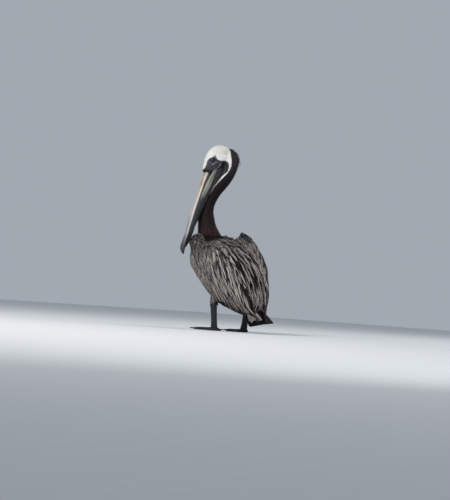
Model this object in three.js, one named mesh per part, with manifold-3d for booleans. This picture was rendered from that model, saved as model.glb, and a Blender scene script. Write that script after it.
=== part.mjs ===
// A life-size brown pelican at rest: it stands on both webbed feet with its trunk
// steep, its wings folded, its neck in an S and its head turned to its left, so that
// the long bill hangs beside the breast.
//
// Millimetres. +Z is up and the trunk faces -Y, so +X is the bird's left. The floor is
// at Z = 0. Every piece of flesh is lofted along a line of named stations and then
// parted from its neighbours by a thin gap.
import * as THREE from "three";
import { mergeVertices } from "three/addons/utils/BufferGeometryUtils.js";
import Module from "manifold-3d";

const wasm = await Module();
wasm.setup();

// Driving sizes, in millimetres and degrees.
const GAP = 0.35; // space left between two pieces that touch
const DETAIL = 0.4; // the least departure from a flat face that is kept
const NECK_TURN = 48; // how far the plane of the neck is turned to the bird's left
const HEAD_TURN = 64; // how far the head is turned to the bird's left
const BILL_PITCH = 77.8; // how steeply the bill points down
const NECK_ROOT = { forward: 115, up: 290 }; // where the neck leaves the breast
const BROW = { left: 49, forward: 125, up: 533 }; // forehead feathers meet the bill
const BILL_LENGTH = 281;
const EYE = { ahead: -48, over: -16, left: 16.4, radius: 8 };
const TARSUS_LENGTH = 80;
const FOOT = {
  left: { side: 1, bare: 83, left: 52, forward: 16, turn: 4, ankleLeft: 57, ankleForward: 22 },
  right: { side: -1, bare: 62, left: -52, forward: -22, turn: 2, ankleLeft: -50, ankleForward: -34 },
};
const SOLE = 3.2; // thickness of the web between the toes
const TOES = [
  { name: "outer", angle: 21, length: 79, radius: 5.2 },
  { name: "middle", angle: 0, length: 85, radius: 5.6 },
  { name: "inner", angle: -27, length: 67, radius: 5.2 },
  { name: "hind", angle: -92, length: 36, radius: 4.4 },
];
const HEEL = { angle: 180, length: 18, radius: 7.5 };
const CLAW_LENGTH = 11;
const QUILLS = 3;
const TAIL = {
  length: 101,
  halfWidth: 51,
  rootHalfWidth: 28,
  thickness: 7,
  roll: 15, // how far its left edge hangs lower
  rounding: 4, // how much shorter the outermost feathers are
};

const WING_LIFT = 6; // how much higher the right wrist is carried
// How far each wing's upper edge stands over its line, from the wrist to the tip.
const WING_CREST = { left: [35, 32, 53, 58, 45, 26, 12], right: [34, 77, 86, 77, 45, 26, 12] };
// Where each wing's wrist starts and where it swells: how far forward and how high.
const WRIST = {
  left: { tip: [114, 303], swell: [82, 284] },
  right: { tip: [101, 296], swell: [74, 279] },
};

const radians = THREE.MathUtils.degToRad;

// A point of the bird, from how far it is to the left, forward and up.
const at = (left, forward, up) => new THREE.Vector3(left, -forward, up);

// ---------------------------------------------------------------- solids

function solidOf(geometry) {
  const bare = geometry.clone();
  bare.deleteAttribute("normal");
  bare.deleteAttribute("uv");
  const merged = mergeVertices(bare, 1e-4);
  const mesh = { numProp: 3, vertProperties: merged.attributes.position.array };
  mesh.triVerts = new Uint32Array(merged.index.array);
  return new wasm.Manifold(new wasm.Mesh(mesh));
}

function largest(solid) {
  const bodies = solid.decompose();
  return bodies.reduce((best, body) => (body.volume() > best.volume() ? body : best));
}

function geometryOf(solid) {
  const mesh = largest(solid).simplify(0.001).getMesh();
  const geometry = new THREE.BufferGeometry();
  const places = new THREE.BufferAttribute(mesh.vertProperties, 3);
  geometry.setAttribute("position", places);
  geometry.setIndex(new THREE.BufferAttribute(mesh.triVerts, 1));
  geometry.computeVertexNormals();
  return geometry;
}

// A closed body lofted along a line. Each station has a place, a half width across, and
// a rise over and a drop under the line. Both ends are rounded off over the share of
// the line that caps gives, and bow bends the section away from across, as the square
// of the height.
function loft({ stations, across, up, ring = 24, rows = 28, caps = [0.15, 0.15], ...more }) {
  const { bow = 0, square = 2 } = more;
  const line = new THREE.CatmullRomCurve3(stations.map((s) => s.at));
  const sizes = new THREE.CatmullRomCurve3(
    stations.map((s) => new THREE.Vector3(s.wide, s.over, s.under)),
    false,
    "catmullrom",
    0.5,
  );
  const geometry = new THREE.SphereGeometry(1, ring, rows);
  const places = geometry.attributes.position;
  const alongUp = new THREE.Vector3();
  for (let row = 0; row <= rows; row++) {
    const sweep = row / rows;
    const share = sweep - Math.sin(2 * Math.PI * sweep) / (4 * Math.PI);
    const centre = line.getPoint(share);
    const tangent = line.getTangent(share);
    const side = across.clone().addScaledVector(tangent, -across.dot(tangent)).normalize();
    alongUp.crossVectors(tangent, side);
    const sign = Math.sign(alongUp.dot(up)) || 1;
    const size = sizes.getPoint(share);
    const start = caps[0] ? Math.min(1, share / caps[0]) : 1;
    const end = caps[1] ? Math.min(1, (1 - share) / caps[1]) : 1;
    const rounding = Math.sqrt(1 - (1 - start) ** 2) * Math.sqrt(1 - (1 - end) ** 2);
    for (let i = 0; i <= ring; i++) {
      const turn = (2 * Math.PI * i) / ring;
      const x = -Math.cos(turn);
      const z = Math.sin(turn);
      const wide = Math.sign(x) * Math.abs(x) ** (2 / square);
      const tall = Math.sign(z) * Math.abs(z) ** (2 / square);
      const reach = sign * z > 0 ? size.y : size.z;
      const height = tall * reach * rounding;
      const width = wide * size.x * rounding;
      const place = centre.clone();
      place.addScaledVector(side, width - bow * (height / 100) ** 2);
      place.addScaledVector(alongUp, height);
      places.setXYZ(row * (ring + 1) + i, place.x, place.y, place.z);
    }
  }
  return solidOf(geometry);
}

// A solid with its whole surface moved outwards by the gap.
function grown(solid) {
  const mesh = solid.getMesh();
  const geometry = new THREE.BufferGeometry();
  geometry.setAttribute("position", new THREE.BufferAttribute(mesh.vertProperties, 3));
  geometry.setIndex(new THREE.BufferAttribute(mesh.triVerts, 1));
  geometry.computeVertexNormals();
  const { position, normal } = geometry.attributes;
  for (let i = 0; i < position.count; i++) {
    const place = new THREE.Vector3().fromBufferAttribute(position, i);
    place.addScaledVector(new THREE.Vector3().fromBufferAttribute(normal, i), GAP);
    position.setXYZ(i, place.x, place.y, place.z);
  }
  return solidOf(geometry);
}

// The solids joined to one piece, and the same piece grown, to cut its neighbours with.
function piece(...solids) {
  const plain = solids.map((solid) => solid.simplify(DETAIL));
  const join = (all) => all.reduce((sum, solid) => sum.add(solid));
  const body = join(plain);
  return { body, cutter: join([...plain.map(grown), body]) };
}

function cut(solid, ...neighbours) {
  return neighbours.reduce((left, neighbour) => left.subtract(neighbour.cutter), solid);
}

// A box that holds all of the bird above a height, to part a piece with.
function above(height) {
  const size = 2000;
  const geometry = new THREE.BoxGeometry(size, size, size);
  geometry.translate(0, 0, height + size / 2);
  return solidOf(geometry);
}

const LEFT = at(1, 0, 0);
const UP = at(0, 0, 1);

// ---------------------------------------------------------------- trunk and wings

const trunkPart = piece(
  loft({
    stations: [
      { at: at(0, 160, 272), wide: 54, over: 44, under: 46 },
      { at: at(0, 126, 263), wide: 80, over: 66, under: 66 },
      { at: at(0, 75, 240), wide: 91, over: 87, under: 82 },
      { at: at(0, 15, 200), wide: 96, over: 89, under: 93 },
      { at: at(0, -45, 150), wide: 85, over: 76, under: 89 },
      { at: at(0, -90, 104), wide: 60, over: 48, under: 58 },
      { at: at(0, -122, 72), wide: 36, over: 24, under: 36 },
    ],
    across: LEFT,
    up: UP,
    ring: 20,
    rows: 17,
    caps: [0.17, 0.12],
    square: 2.6,
  }),
);

function wing(side) {
  const lift = side < 0 ? WING_LIFT : 0;
  const name = side < 0 ? 'right' : 'left';
  const crest = WING_CREST[name];
  const { tip, swell } = WRIST[name];
  return piece(
    loft({
      stations: [
        { at: at(side * 83, tip[0], tip[1] + lift), wide: 17, over: crest[0], under: 34 },
        { at: at(side * 92, swell[0], swell[1] + lift), wide: 20, over: crest[1], under: 46 },
        { at: at(side * 98, 24, 240 + lift), wide: 22, over: crest[2], under: 64 },
        { at: at(side * 90, -34, 187 + lift / 2), wide: 20, over: crest[3], under: 60 },
        { at: at(side * 68, -82, 136), wide: 15, over: crest[4], under: 46 },
        { at: at(side * 42, -120, 92), wide: 10, over: crest[5], under: 28 },
        { at: at(side * 20, -148, 58), wide: 6, over: crest[6], under: 12 },
      ],
      across: LEFT.clone().multiplyScalar(side),
      up: UP,
      ring: 18,
      rows: 15,
      caps: [0.09, 0.12],
      bow: 46,
    }),
  );
}

const wings = { left: wing(1), right: wing(-1) };

// The long dark quills that reach out past the folded wing, over the tail.
function primaries(side) {
  const blades = [];
  for (let i = 0; i < QUILLS; i++) {
    const drop = i * 7;
    blades.push(
      loft({
        stations: [
          { at: at(side * (44 - i), -104 + drop / 2, 106 - drop), wide: 2, over: 9, under: 9 },
          { at: at(side * (28 - i), -136 + drop / 2, 74 - drop), wide: 2, over: 8, under: 8 },
          { at: at(side * (13 - i), -165 + drop, 45 - drop / 3), wide: 1.2, over: 5, under: 5 },
        ],
        across: LEFT.clone().multiplyScalar(side),
        up: UP,
        ring: 6,
        rows: 5,
        caps: [0.1, 0.25],
      }),
    );
  }
  return piece(...blades);
}

const quills = { left: primaries(1), right: primaries(-1) };

// ---------------------------------------------------------------- neck

// A point in the plane of the neck, from its reach towards the bill and its height.
function neckPoint(reach, up) {
  const turn = radians(NECK_TURN);
  return at(reach * Math.sin(turn), NECK_ROOT.forward + reach * Math.cos(turn), up);
}

const neckPart = piece(
  loft({
    stations: [
      { at: neckPoint(-10, 262), wide: 44, over: 46, under: 46 },
      { at: neckPoint(2, 305), wide: 38, over: 45, under: 43 },
      { at: neckPoint(14, 345), wide: 31, over: 35, under: 33 },
      { at: neckPoint(21, 390), wide: 27, over: 28, under: 27 },
      { at: neckPoint(18, 430), wide: 26, over: 26, under: 26 },
      { at: neckPoint(-4, 478), wide: 26, over: 26, under: 26 },
      { at: neckPoint(-32, 518), wide: 26, over: 27, under: 27 },
      { at: neckPoint(-49, 560), wide: 27, over: 29, under: 28 },
      { at: neckPoint(-45, 592), wide: 28, over: 33, under: 29 },
      { at: neckPoint(-14, 600), wide: 25, over: 25, under: 25 },
    ],
    across: neckPoint(0, 0).sub(neckPoint(1, 0)).cross(UP).normalize(),
    up: neckPoint(-1, 0).sub(neckPoint(0, 0)),
    ring: 16,
    rows: 26,
    caps: [0.05, 0.07],
  }),
);

// ---------------------------------------------------------------- head and bill

// The head's own frame: ahead along the bill, over towards the crown, and to its left.
const heading = at(Math.sin(radians(HEAD_TURN)), Math.cos(radians(HEAD_TURN)), 0);
const headLeft = UP.clone().cross(heading).normalize();
const ahead = heading
  .clone()
  .multiplyScalar(Math.cos(radians(BILL_PITCH)))
  .addScaledVector(UP, -Math.sin(radians(BILL_PITCH)));
const overHead = heading
  .clone()
  .multiplyScalar(Math.sin(radians(BILL_PITCH)))
  .addScaledVector(UP, Math.cos(radians(BILL_PITCH)));
const browPoint = at(BROW.left, BROW.forward, BROW.up);

function headPoint(forward, over, left = 0) {
  return browPoint
    .clone()
    .addScaledVector(ahead, forward)
    .addScaledVector(overHead, over)
    .addScaledVector(headLeft, left);
}

function headLoft(options) {
  return piece(loft({ across: headLeft, up: overHead, ...options }));
}

const headPart = headLoft({
  stations: [
    { at: headPoint(4, -12), wide: 17, over: 13, under: 14 },
    { at: headPoint(-20, -16), wide: 21, over: 22, under: 22 },
    { at: headPoint(-46, -25), wide: 25, over: 33.5, under: 30 },
    { at: headPoint(-70, -38), wide: 27.5, over: 39, under: 34 },
    { at: headPoint(-88, -56), wide: 27.5, over: 31, under: 32 },
    { at: headPoint(-101, -76), wide: 25, over: 18, under: 22 },
  ],
  ring: 18,
  rows: 15,
  caps: [0.1, 0.3],
});

const upperBill = headLoft({
  stations: [
    { at: headPoint(-8, -14), wide: 18, over: 12, under: 10 },
    { at: headPoint(30, -9.5), wide: 16.5, over: 9.5, under: 8 },
    { at: headPoint(90, -7), wide: 13, over: 7.5, under: 6 },
    { at: headPoint(170, -4.5), wide: 11.5, over: 6, under: 5.5 },
    { at: headPoint(235, -3), wide: 12, over: 6, under: 5.5 },
    { at: headPoint(262, -2.7), wide: 9.5, over: 6, under: 5.5 },
    { at: headPoint(276, -4), wide: 5.5, over: 5.5, under: 5 },
    { at: headPoint(BILL_LENGTH, -12), wide: 2.5, over: 2.5, under: 2.5 },
  ],
  ring: 12,
  rows: 20,
  caps: [0.02, 0.06],
});

const lowerBill = headLoft({
  stations: [
    { at: headPoint(-30, -38), wide: 16, over: 6, under: 7 },
    { at: headPoint(0, -33), wide: 18, over: 7, under: 8 },
    { at: headPoint(34, -29), wide: 15.5, over: 10, under: 8 },
    { at: headPoint(60, -24.5), wide: 13.8, over: 10, under: 7 },
    { at: headPoint(90, -19), wide: 12.4, over: 8, under: 5.5 },
    { at: headPoint(170, -12), wide: 10.4, over: 5, under: 4 },
    { at: headPoint(235, -9.5), wide: 9, over: 4, under: 3 },
    { at: headPoint(258, -9.5), wide: 5, over: 3, under: 2.5 },
  ],
  ring: 10,
  rows: 14,
  caps: [0.05, 0.05],
});

const pouchPart = headLoft({
  stations: [
    { at: headPoint(-52, -62), wide: 14, over: 18, under: 18 },
    { at: headPoint(-25, -58), wide: 18, over: 20, under: 24 },
    { at: headPoint(9, -50), wide: 17, over: 16, under: 20 },
    { at: headPoint(37, -42), wide: 14.5, over: 12, under: 15 },
    { at: headPoint(61, -35), wide: 12.8, over: 10, under: 11 },
    { at: headPoint(100, -27), wide: 10.8, over: 8, under: 11 },
    { at: headPoint(138, -21), wide: 9.4, over: 7, under: 11.5 },
    { at: headPoint(170, -17), wide: 8.4, over: 6, under: 10.5 },
    { at: headPoint(205, -13), wide: 7, over: 4, under: 7.5 },
    { at: headPoint(230, -10), wide: 5, over: 3, under: 4.5 },
    { at: headPoint(246, -9), wide: 3, over: 2, under: 2 },
  ],
  ring: 12,
  rows: 14,
  caps: [0.12, 0.04],
});

function eye(side) {
  const geometry = new THREE.SphereGeometry(EYE.radius, 12, 8);
  const place = headPoint(EYE.ahead, EYE.over, side * EYE.left);
  geometry.translate(place.x, place.y, place.z);
  return piece(solidOf(geometry));
}

const eyes = { left: eye(1), right: eye(-1) };

// ---------------------------------------------------------------- tail

function tail() {
  const { length, halfWidth, rootHalfWidth, thickness, rounding } = TAIL;
  const feathers = 9; // tips that show along the trailing edge
  const outline = new THREE.Shape();
  outline.moveTo(-rootHalfWidth, 0);
  for (let i = 0; i < feathers; i++) {
    const from = -halfWidth + (2 * halfWidth * i) / feathers;
    const to = from + (2 * halfWidth) / feathers;
    const middle = (from + to) / 2;
    const reach = length - rounding * (middle / halfWidth) ** 2;
    outline.lineTo(from, reach - 7);
    outline.quadraticCurveTo(middle, reach + 5, to, reach - 7);
  }
  outline.lineTo(rootHalfWidth, 0);
  const geometry = new THREE.ExtrudeGeometry(outline, {
    depth: thickness,
    bevelEnabled: false,
    curveSegments: 3,
  });
  geometry.translate(0, 0, -thickness / 2);
  const places = geometry.attributes.position;
  for (let i = 0; i < places.count; i++) {
    const arch = 9 * (places.getX(i) / halfWidth) ** 2;
    places.setZ(i, places.getZ(i) - arch);
  }
  geometry.rotateY(radians(TAIL.roll));
  geometry.rotateX(radians(-49));
  const root = at(0, -96, 106);
  geometry.translate(root.x, root.y, root.z);
  return solidOf(geometry);
}

const tailPart = piece(tail());

// ---------------------------------------------------------------- legs

function ankleOf(foot) {
  return at(foot.ankleLeft, foot.ankleForward, TARSUS_LENGTH + 8);
}

function thigh(foot) {
  const ankle = ankleOf(foot);
  const sole = at(foot.left, foot.forward, 0);
  const hem = ankle.clone().lerp(sole, 1 - foot.bare / ankle.z);
  return piece(
    loft({
      stations: [
        { at: at(foot.side * 46, foot.forward + 8, 150), wide: 28, over: 34, under: 34 },
        { at: at(foot.side * 50, foot.forward, 122), wide: 23, over: 28, under: 28 },
        { at: hem.clone().add(at(0, 0, 17)), wide: 14, over: 17, under: 17 },
        { at: hem, wide: 10, over: 14, under: 14 },
      ],
      across: LEFT,
      up: at(0, -1, 0),
      ring: 12,
      rows: 8,
      caps: [0.1, 0.12],
    }),
  );
}

function tarsus(foot) {
  const sole = at(foot.left, foot.forward, 5);
  const ankle = ankleOf(foot);
  const along = (share, wide, over, under) => {
    const place = ankle.clone().lerp(sole, share);
    return { at: place, wide, over, under };
  };
  return piece(
    loft({
      stations: [
        along(-0.05, 7.8, 11.6, 11.6),
        along(0.08, 8.2, 12.6, 12.6),
        along(0.3, 7.2, 11.6, 11.6),
        along(0.65, 6.8, 10.6, 10.6),
        along(0.88, 7.6, 11.4, 13),
        along(1, 8.8, 12.6, 17),
      ],
      across: LEFT.clone().applyAxisAngle(UP, radians(-foot.side * foot.turn)),
      up: at(0, -1, 0),
      ring: 12,
      rows: 10,
      caps: [0.08, 0.1],
    }),
  );
}

// Where a toe's line is at a share of its length, and how high over the floor.
function toePoint(foot, toe, share, height) {
  const turn = radians(foot.turn + toe.angle) * foot.side;
  const reach = toe.length * share;
  return at(foot.left + reach * Math.sin(turn), foot.forward + reach * Math.cos(turn), height);
}

function toeSolid(foot, toe) {
  const { radius } = toe;
  const shares = [-0.08, 0.12, 0.36, 0.5, 0.64, 0.8, 1];
  const swell = [1.25, 1.2, 0.95, 1.08, 0.88, 0.92, 0.7];
  const stations = shares.map((share, i) => {
    const tall = radius * swell[i];
    return {
      at: toePoint(foot, toe, share, tall * 0.72),
      wide: tall,
      over: tall,
      under: tall,
    };
  });
  const line = toePoint(foot, toe, 1, 0).sub(toePoint(foot, toe, 0, 0));
  const across = line.cross(UP).normalize();
  return loft({ stations, across, up: UP, ring: 8, rows: 7, caps: [0.06, 0.07] });
}

function webSolid(foot) {
  const outline = new THREE.Shape();
  const flat = (toe, share) => toePoint(foot, toe, share, 0);
  const heel = toePoint(foot, TOES[1], -0.1, 0);
  outline.moveTo(heel.x, heel.y);
  TOES.forEach((toe, i) => {
    const tip = flat(toe, 0.93);
    if (i === 0) {
      outline.lineTo(tip.x, tip.y);
      return;
    }
    const hollow = flat(TOES[i - 1], 0.8).add(flat(toe, 0.8)).multiplyScalar(0.5);
    outline.quadraticCurveTo(hollow.x, hollow.y, tip.x, tip.y);
  });
  outline.closePath();
  const geometry = new THREE.ExtrudeGeometry(outline, {
    depth: SOLE,
    bevelEnabled: false,
    curveSegments: 4,
  });
  return solidOf(geometry);
}

function footPart(foot) {
  const toes = [...TOES, HEEL].map((toe) => toeSolid(foot, toe).intersect(above(0)));
  return piece(webSolid(foot), ...toes);
}

function clawPart(foot, toe) {
  const tip = toePoint(foot, toe, 1, 0);
  const line = tip.clone().sub(toePoint(foot, toe, 0, 0)).normalize();
  const along = (reach, height) => tip.clone().addScaledVector(line, reach).setZ(height);
  const stations = [
    { at: along(-5, 4.4), wide: 2.4, over: 2.8, under: 2.6 },
    { at: along(1, 4.6), wide: 2.3, over: 2.7, under: 2.4 },
    { at: along(CLAW_LENGTH * 0.6, 3.8), wide: 1.6, over: 1.8, under: 1.6 },
    { at: along(CLAW_LENGTH, 1.4), wide: 0.7, over: 0.8, under: 0.7 },
  ];
  const across = line.clone().cross(UP).normalize();
  return loft({ stations, across, up: UP, ring: 6, rows: 4, caps: [0.05, 0.1] });
}

// ---------------------------------------------------------------- the parts

const bird = new THREE.Group();

function add(name, solid, colour, roughness = 0.8) {
  const material = new THREE.MeshStandardMaterial({ color: colour, roughness });
  const mesh = new THREE.Mesh(geometryOf(solid), material);
  mesh.name = name;
  bird.add(mesh);
}

const COLOURS = {
  feather: 0x8a847c,
  darkFeather: 0x2b2624,
  neck: 0x33201d,
  white: 0xe9e6dc,
  bill: 0xc9c2ae,
  mandible: 0x7d7f78,
  pouch: 0x2a2b2e,
  leg: 0x2c2d33,
  claw: 0x1c1b1d,
  eye: 0x4a3a26,
};

const legs = {};
for (const side of ["left", "right"]) {
  const foot = FOOT[side];
  legs[side] = { thigh: thigh(foot), tarsus: tarsus(foot), foot: footPart(foot) };
}

add("trunk", cut(trunkPart.body, wings.left, wings.right), COLOURS.feather);
for (const side of ["left", "right"]) {
  add(`wing_${side}`, wings[side].body, COLOURS.feather);
}
for (const side of ["left", "right"]) {
  const quillSolid = cut(quills[side].body, wings.left, wings.right, trunkPart, tailPart);
  add(`primaries_${side}`, quillSolid, COLOURS.darkFeather);
}
add("tail", cut(tailPart.body, trunkPart, wings.left, wings.right), COLOURS.darkFeather);

const neckSolid = cut(neckPart.body, trunkPart, wings.left, wings.right, headPart);
const NECK_CUTS = [372, 470]; // heights that part the neck into three lengths
const lower = neckSolid.subtract(above(NECK_CUTS[0]));
const middle = neckSolid.intersect(above(NECK_CUTS[0] + GAP)).subtract(above(NECK_CUTS[1]));
const upper = neckSolid.intersect(above(NECK_CUTS[1] + GAP));
add("neck_lower", lower, COLOURS.neck);
add("neck_middle", middle, COLOURS.neck);
add("neck_upper", upper, COLOURS.neck);

add("head", cut(headPart.body, eyes.left, eyes.right), COLOURS.white);
for (const side of ["left", "right"]) {
  add(`eye_${side}`, eyes[side].body, COLOURS.eye, 0.15);
}
add("bill_upper", cut(upperBill.body, headPart), COLOURS.bill, 0.45);
add("bill_lower", cut(lowerBill.body, headPart, upperBill, neckPart), COLOURS.mandible, 0.5);
const pouchCut = cut(pouchPart.body, headPart, upperBill, lowerBill, neckPart);
add("pouch", pouchCut, COLOURS.pouch, 0.55);

for (const side of ["left", "right"]) {
  const leg = legs[side];
  const foot = FOOT[side];
  const thighSolid = cut(leg.thigh.body, trunkPart, wings.left, wings.right, leg.tarsus);
  add(`thigh_${side}`, thighSolid, COLOURS.darkFeather);
  add(`tarsus_${side}`, cut(leg.tarsus.body, trunkPart), COLOURS.leg, 0.6);
  add(`foot_${side}`, cut(leg.foot.body, leg.tarsus), COLOURS.leg, 0.6);
  for (const toe of TOES) {
    const claw = cut(clawPart(foot, toe), leg.foot);
    add(`claw_${side}_${toe.name}`, claw, COLOURS.claw, 0.4);
  }
}

// The origin is on the floor, under the middle of the bird's box.
const box = new THREE.Box3().setFromObject(bird);
const centre = box.getCenter(new THREE.Vector3());
for (const mesh of bird.children) {
  mesh.geometry.translate(-centre.x, -centre.y, -box.min.z);
}

export default bird;
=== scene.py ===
"""Dresses the solids of a brown pelican: skin, bill, pouch, eyes, legs and a coat of feathers.

Metres, +Z up. The trunk faces -Y, so +X is the bird's left. Sizes with no unit are in
millimetres and become metres where a place is made.
"""

import math

import bpy
import numpy as np
from mathutils import Matrix, Vector
from mathutils.bvhtree import BVHTree
from mathutils.kdtree import KDTree


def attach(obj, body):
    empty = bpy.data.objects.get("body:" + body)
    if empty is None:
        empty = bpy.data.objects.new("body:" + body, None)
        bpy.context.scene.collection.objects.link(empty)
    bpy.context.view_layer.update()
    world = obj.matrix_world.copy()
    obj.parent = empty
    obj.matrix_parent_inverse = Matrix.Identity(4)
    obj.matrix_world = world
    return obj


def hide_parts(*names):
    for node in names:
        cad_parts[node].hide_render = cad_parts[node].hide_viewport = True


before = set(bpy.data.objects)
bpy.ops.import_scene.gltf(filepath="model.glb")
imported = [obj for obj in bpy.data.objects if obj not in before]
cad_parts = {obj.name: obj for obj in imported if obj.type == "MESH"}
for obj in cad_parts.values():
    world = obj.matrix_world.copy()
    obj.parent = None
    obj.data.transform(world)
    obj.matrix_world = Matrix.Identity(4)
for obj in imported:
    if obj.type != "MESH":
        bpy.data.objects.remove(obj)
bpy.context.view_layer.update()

MM = 0.001
BOX_BEHIND = 2.9  # how far the bird's own middle lies ahead of the middle of its box
luck = np.random.default_rng(7)

# ---------------------------------------------------------------- places on the bird


def spot(left, forward, up):
    """A place on the bird, from how far it is to the left, forward and up."""
    return np.array((left, -forward - BOX_BEHIND, up)) * MM


def spots(*rows):
    return np.array([spot(*row) for row in rows])


def on_bird(places):
    """How far to the left, forward and up places are. It undoes spot."""
    return places[:, 0] / MM, -places[:, 1] / MM - BOX_BEHIND, places[:, 2] / MM


HEAD_TURN = math.radians(64)
BILL_PITCH = math.radians(77.8)
NECK_TURN = math.radians(48)
BROW = spot(49, 125, 533)
UP = np.array((0.0, 0.0, 1.0))
HEADING = np.array((math.sin(HEAD_TURN), -math.cos(HEAD_TURN), 0.0))
HEAD_LEFT = np.array((math.cos(HEAD_TURN), math.sin(HEAD_TURN), 0.0))
AHEAD = HEADING * math.cos(BILL_PITCH) - UP * math.sin(BILL_PITCH)
OVER = HEADING * math.sin(BILL_PITCH) + UP * math.cos(BILL_PITCH)
HEAD_AXES = np.array((AHEAD, OVER, HEAD_LEFT))


def head_spot(ahead, over, left):
    return BROW + np.array((ahead, over, left)) @ HEAD_AXES * MM


def in_head(places):
    """Places as millimetres ahead of the brow, over it and to the head's left."""
    return (places - BROW) @ HEAD_AXES.T / MM


def neck_spot(reach, up):
    return spot(reach * math.sin(NECK_TURN), 115 + reach * math.cos(NECK_TURN), up)


TRUNK_LINE = spots(
    (0, 175, 276), (0, 126, 263), (0, 75, 240), (0, 15, 200),
    (0, -45, 150), (0, -90, 104), (0, -150, 45),
)
NECK_STEPS = [
    (-38, 612), (-49, 580), (-49, 560), (-32, 518), (-4, 478), (18, 430), (21, 390), (14, 345),
    (2, 305), (-10, 262),
]
NECK_LINE = np.array([neck_spot(*step) for step in NECK_STEPS])
EYE_RADIUS = 8
EYE_OPENING = 6.0  # half the gap between the lids
EYE = np.array((-48, -16, 16.4))  # ahead, over and left of the brow


def unit(vectors):
    return vectors / np.maximum(np.linalg.norm(vectors, axis=-1, keepdims=True), 1e-12)


def ease(values, start, end):
    """0 up to start, 1 from end on, and smooth between."""
    share = np.clip((values - start) / (end - start), 0, 1)
    return share * share * (3 - 2 * share)


def along(places, line):
    """The way of a line where it is nearest to each place, and how far off the line is."""
    start, end = line[:-1], line[1:]
    run = end - start
    length = (run**2).sum(1)
    offset = places[:, None] - start[None]
    share = np.clip((offset * run[None]).sum(2) / length[None], 0, 1)
    off = np.linalg.norm(offset - share[..., None] * run[None], axis=2)
    best = off.argmin(1)
    return unit(run)[best], off[np.arange(len(places)), best] / MM


def inside(points, outline):
    """How far inside a flat outline each point lies, in millimetres. It is negative outside."""
    start = np.array(outline, float)
    end = np.roll(start, -1, axis=0)
    run = end - start
    offset = points[:, None] - start[None]
    share = np.clip((offset * run[None]).sum(2) / (run**2).sum(1)[None], 0, 1)
    gap = np.linalg.norm(offset - share[..., None] * run[None], axis=2).min(1)
    high = start[None, :, 1] > points[:, None, 1]
    crosses = high != (end[None, :, 1] > points[:, None, 1])
    fall = np.where(run[:, 1] == 0, 1e-9, run[:, 1])
    at = start[None, :, 0] + (points[:, None, 1] - start[None, :, 1]) / fall[None] * run[None, :, 0]
    odd = (crosses & (points[:, None, 0] < at)).sum(1) % 2 == 1
    return np.where(odd, gap, -gap)


# ---------------------------------------------------------------- colours


def paint(code):
    """A colour in linear light from its written code."""
    parts = [int(code[i : i + 2], 16) / 255 for i in (0, 2, 4)]
    return np.array([((c + 0.055) / 1.055) ** 2.4 if c > 0.04045 else c / 12.92 for c in parts])


def blended(tint, amount, colour):
    """A tint drawn towards a colour, by an amount for each place."""
    return tint + amount[:, None] * (colour - tint)


WHITE_DOWN = paint("fcfbf8")
CREAM_DOWN = paint("f8f5ec")
MAROON = paint("1c1115")
MAROON_GLOW = paint("431e1b")
NAPE = paint("42373f")
BARE_FACE = paint("3b3942")
PALE_LID = paint("84828a")
GORGE = paint("0b0a0e")
RIDGE_GREY = paint("8d8a96")
TAUPE = paint("89837f")
COOL_TAUPE = paint("a29d9a")
MANTLE = paint("7b7777")
SILVER = paint("928c88")
PINK_BEIGE = paint("8d8784")
SLATE = paint("40414b")
VENT_AND_UNDER_SHADE = paint("48433f")
THIGH_DARK_AND_SHADE = paint("0d0c0e")
UNDERSIDE_DARK_AND_SHADE = paint("121113")
LOBE = paint("56544f")
DARK_EDGE = paint("0f0c0d")
TAUPE_EDGE = paint("2e2927")
DARK_QUILL = paint("100f12")


# ---------------------------------------------------------------- finishes


class Wire:
    """A value on its way through a material's nodes. A sum written with wires adds its nodes."""

    def __init__(self, finish, socket):
        self.finish = finish
        self.socket = socket

    def __add__(self, other):
        return self.finish.maths("ADD", self, other)

    __radd__ = __add__

    def __sub__(self, other):
        return self.finish.maths("SUBTRACT", self, other)

    def __rsub__(self, other):
        return self.finish.maths("SUBTRACT", other, self)

    def __mul__(self, other):
        return self.finish.maths("MULTIPLY", self, other)

    __rmul__ = __mul__


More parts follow.
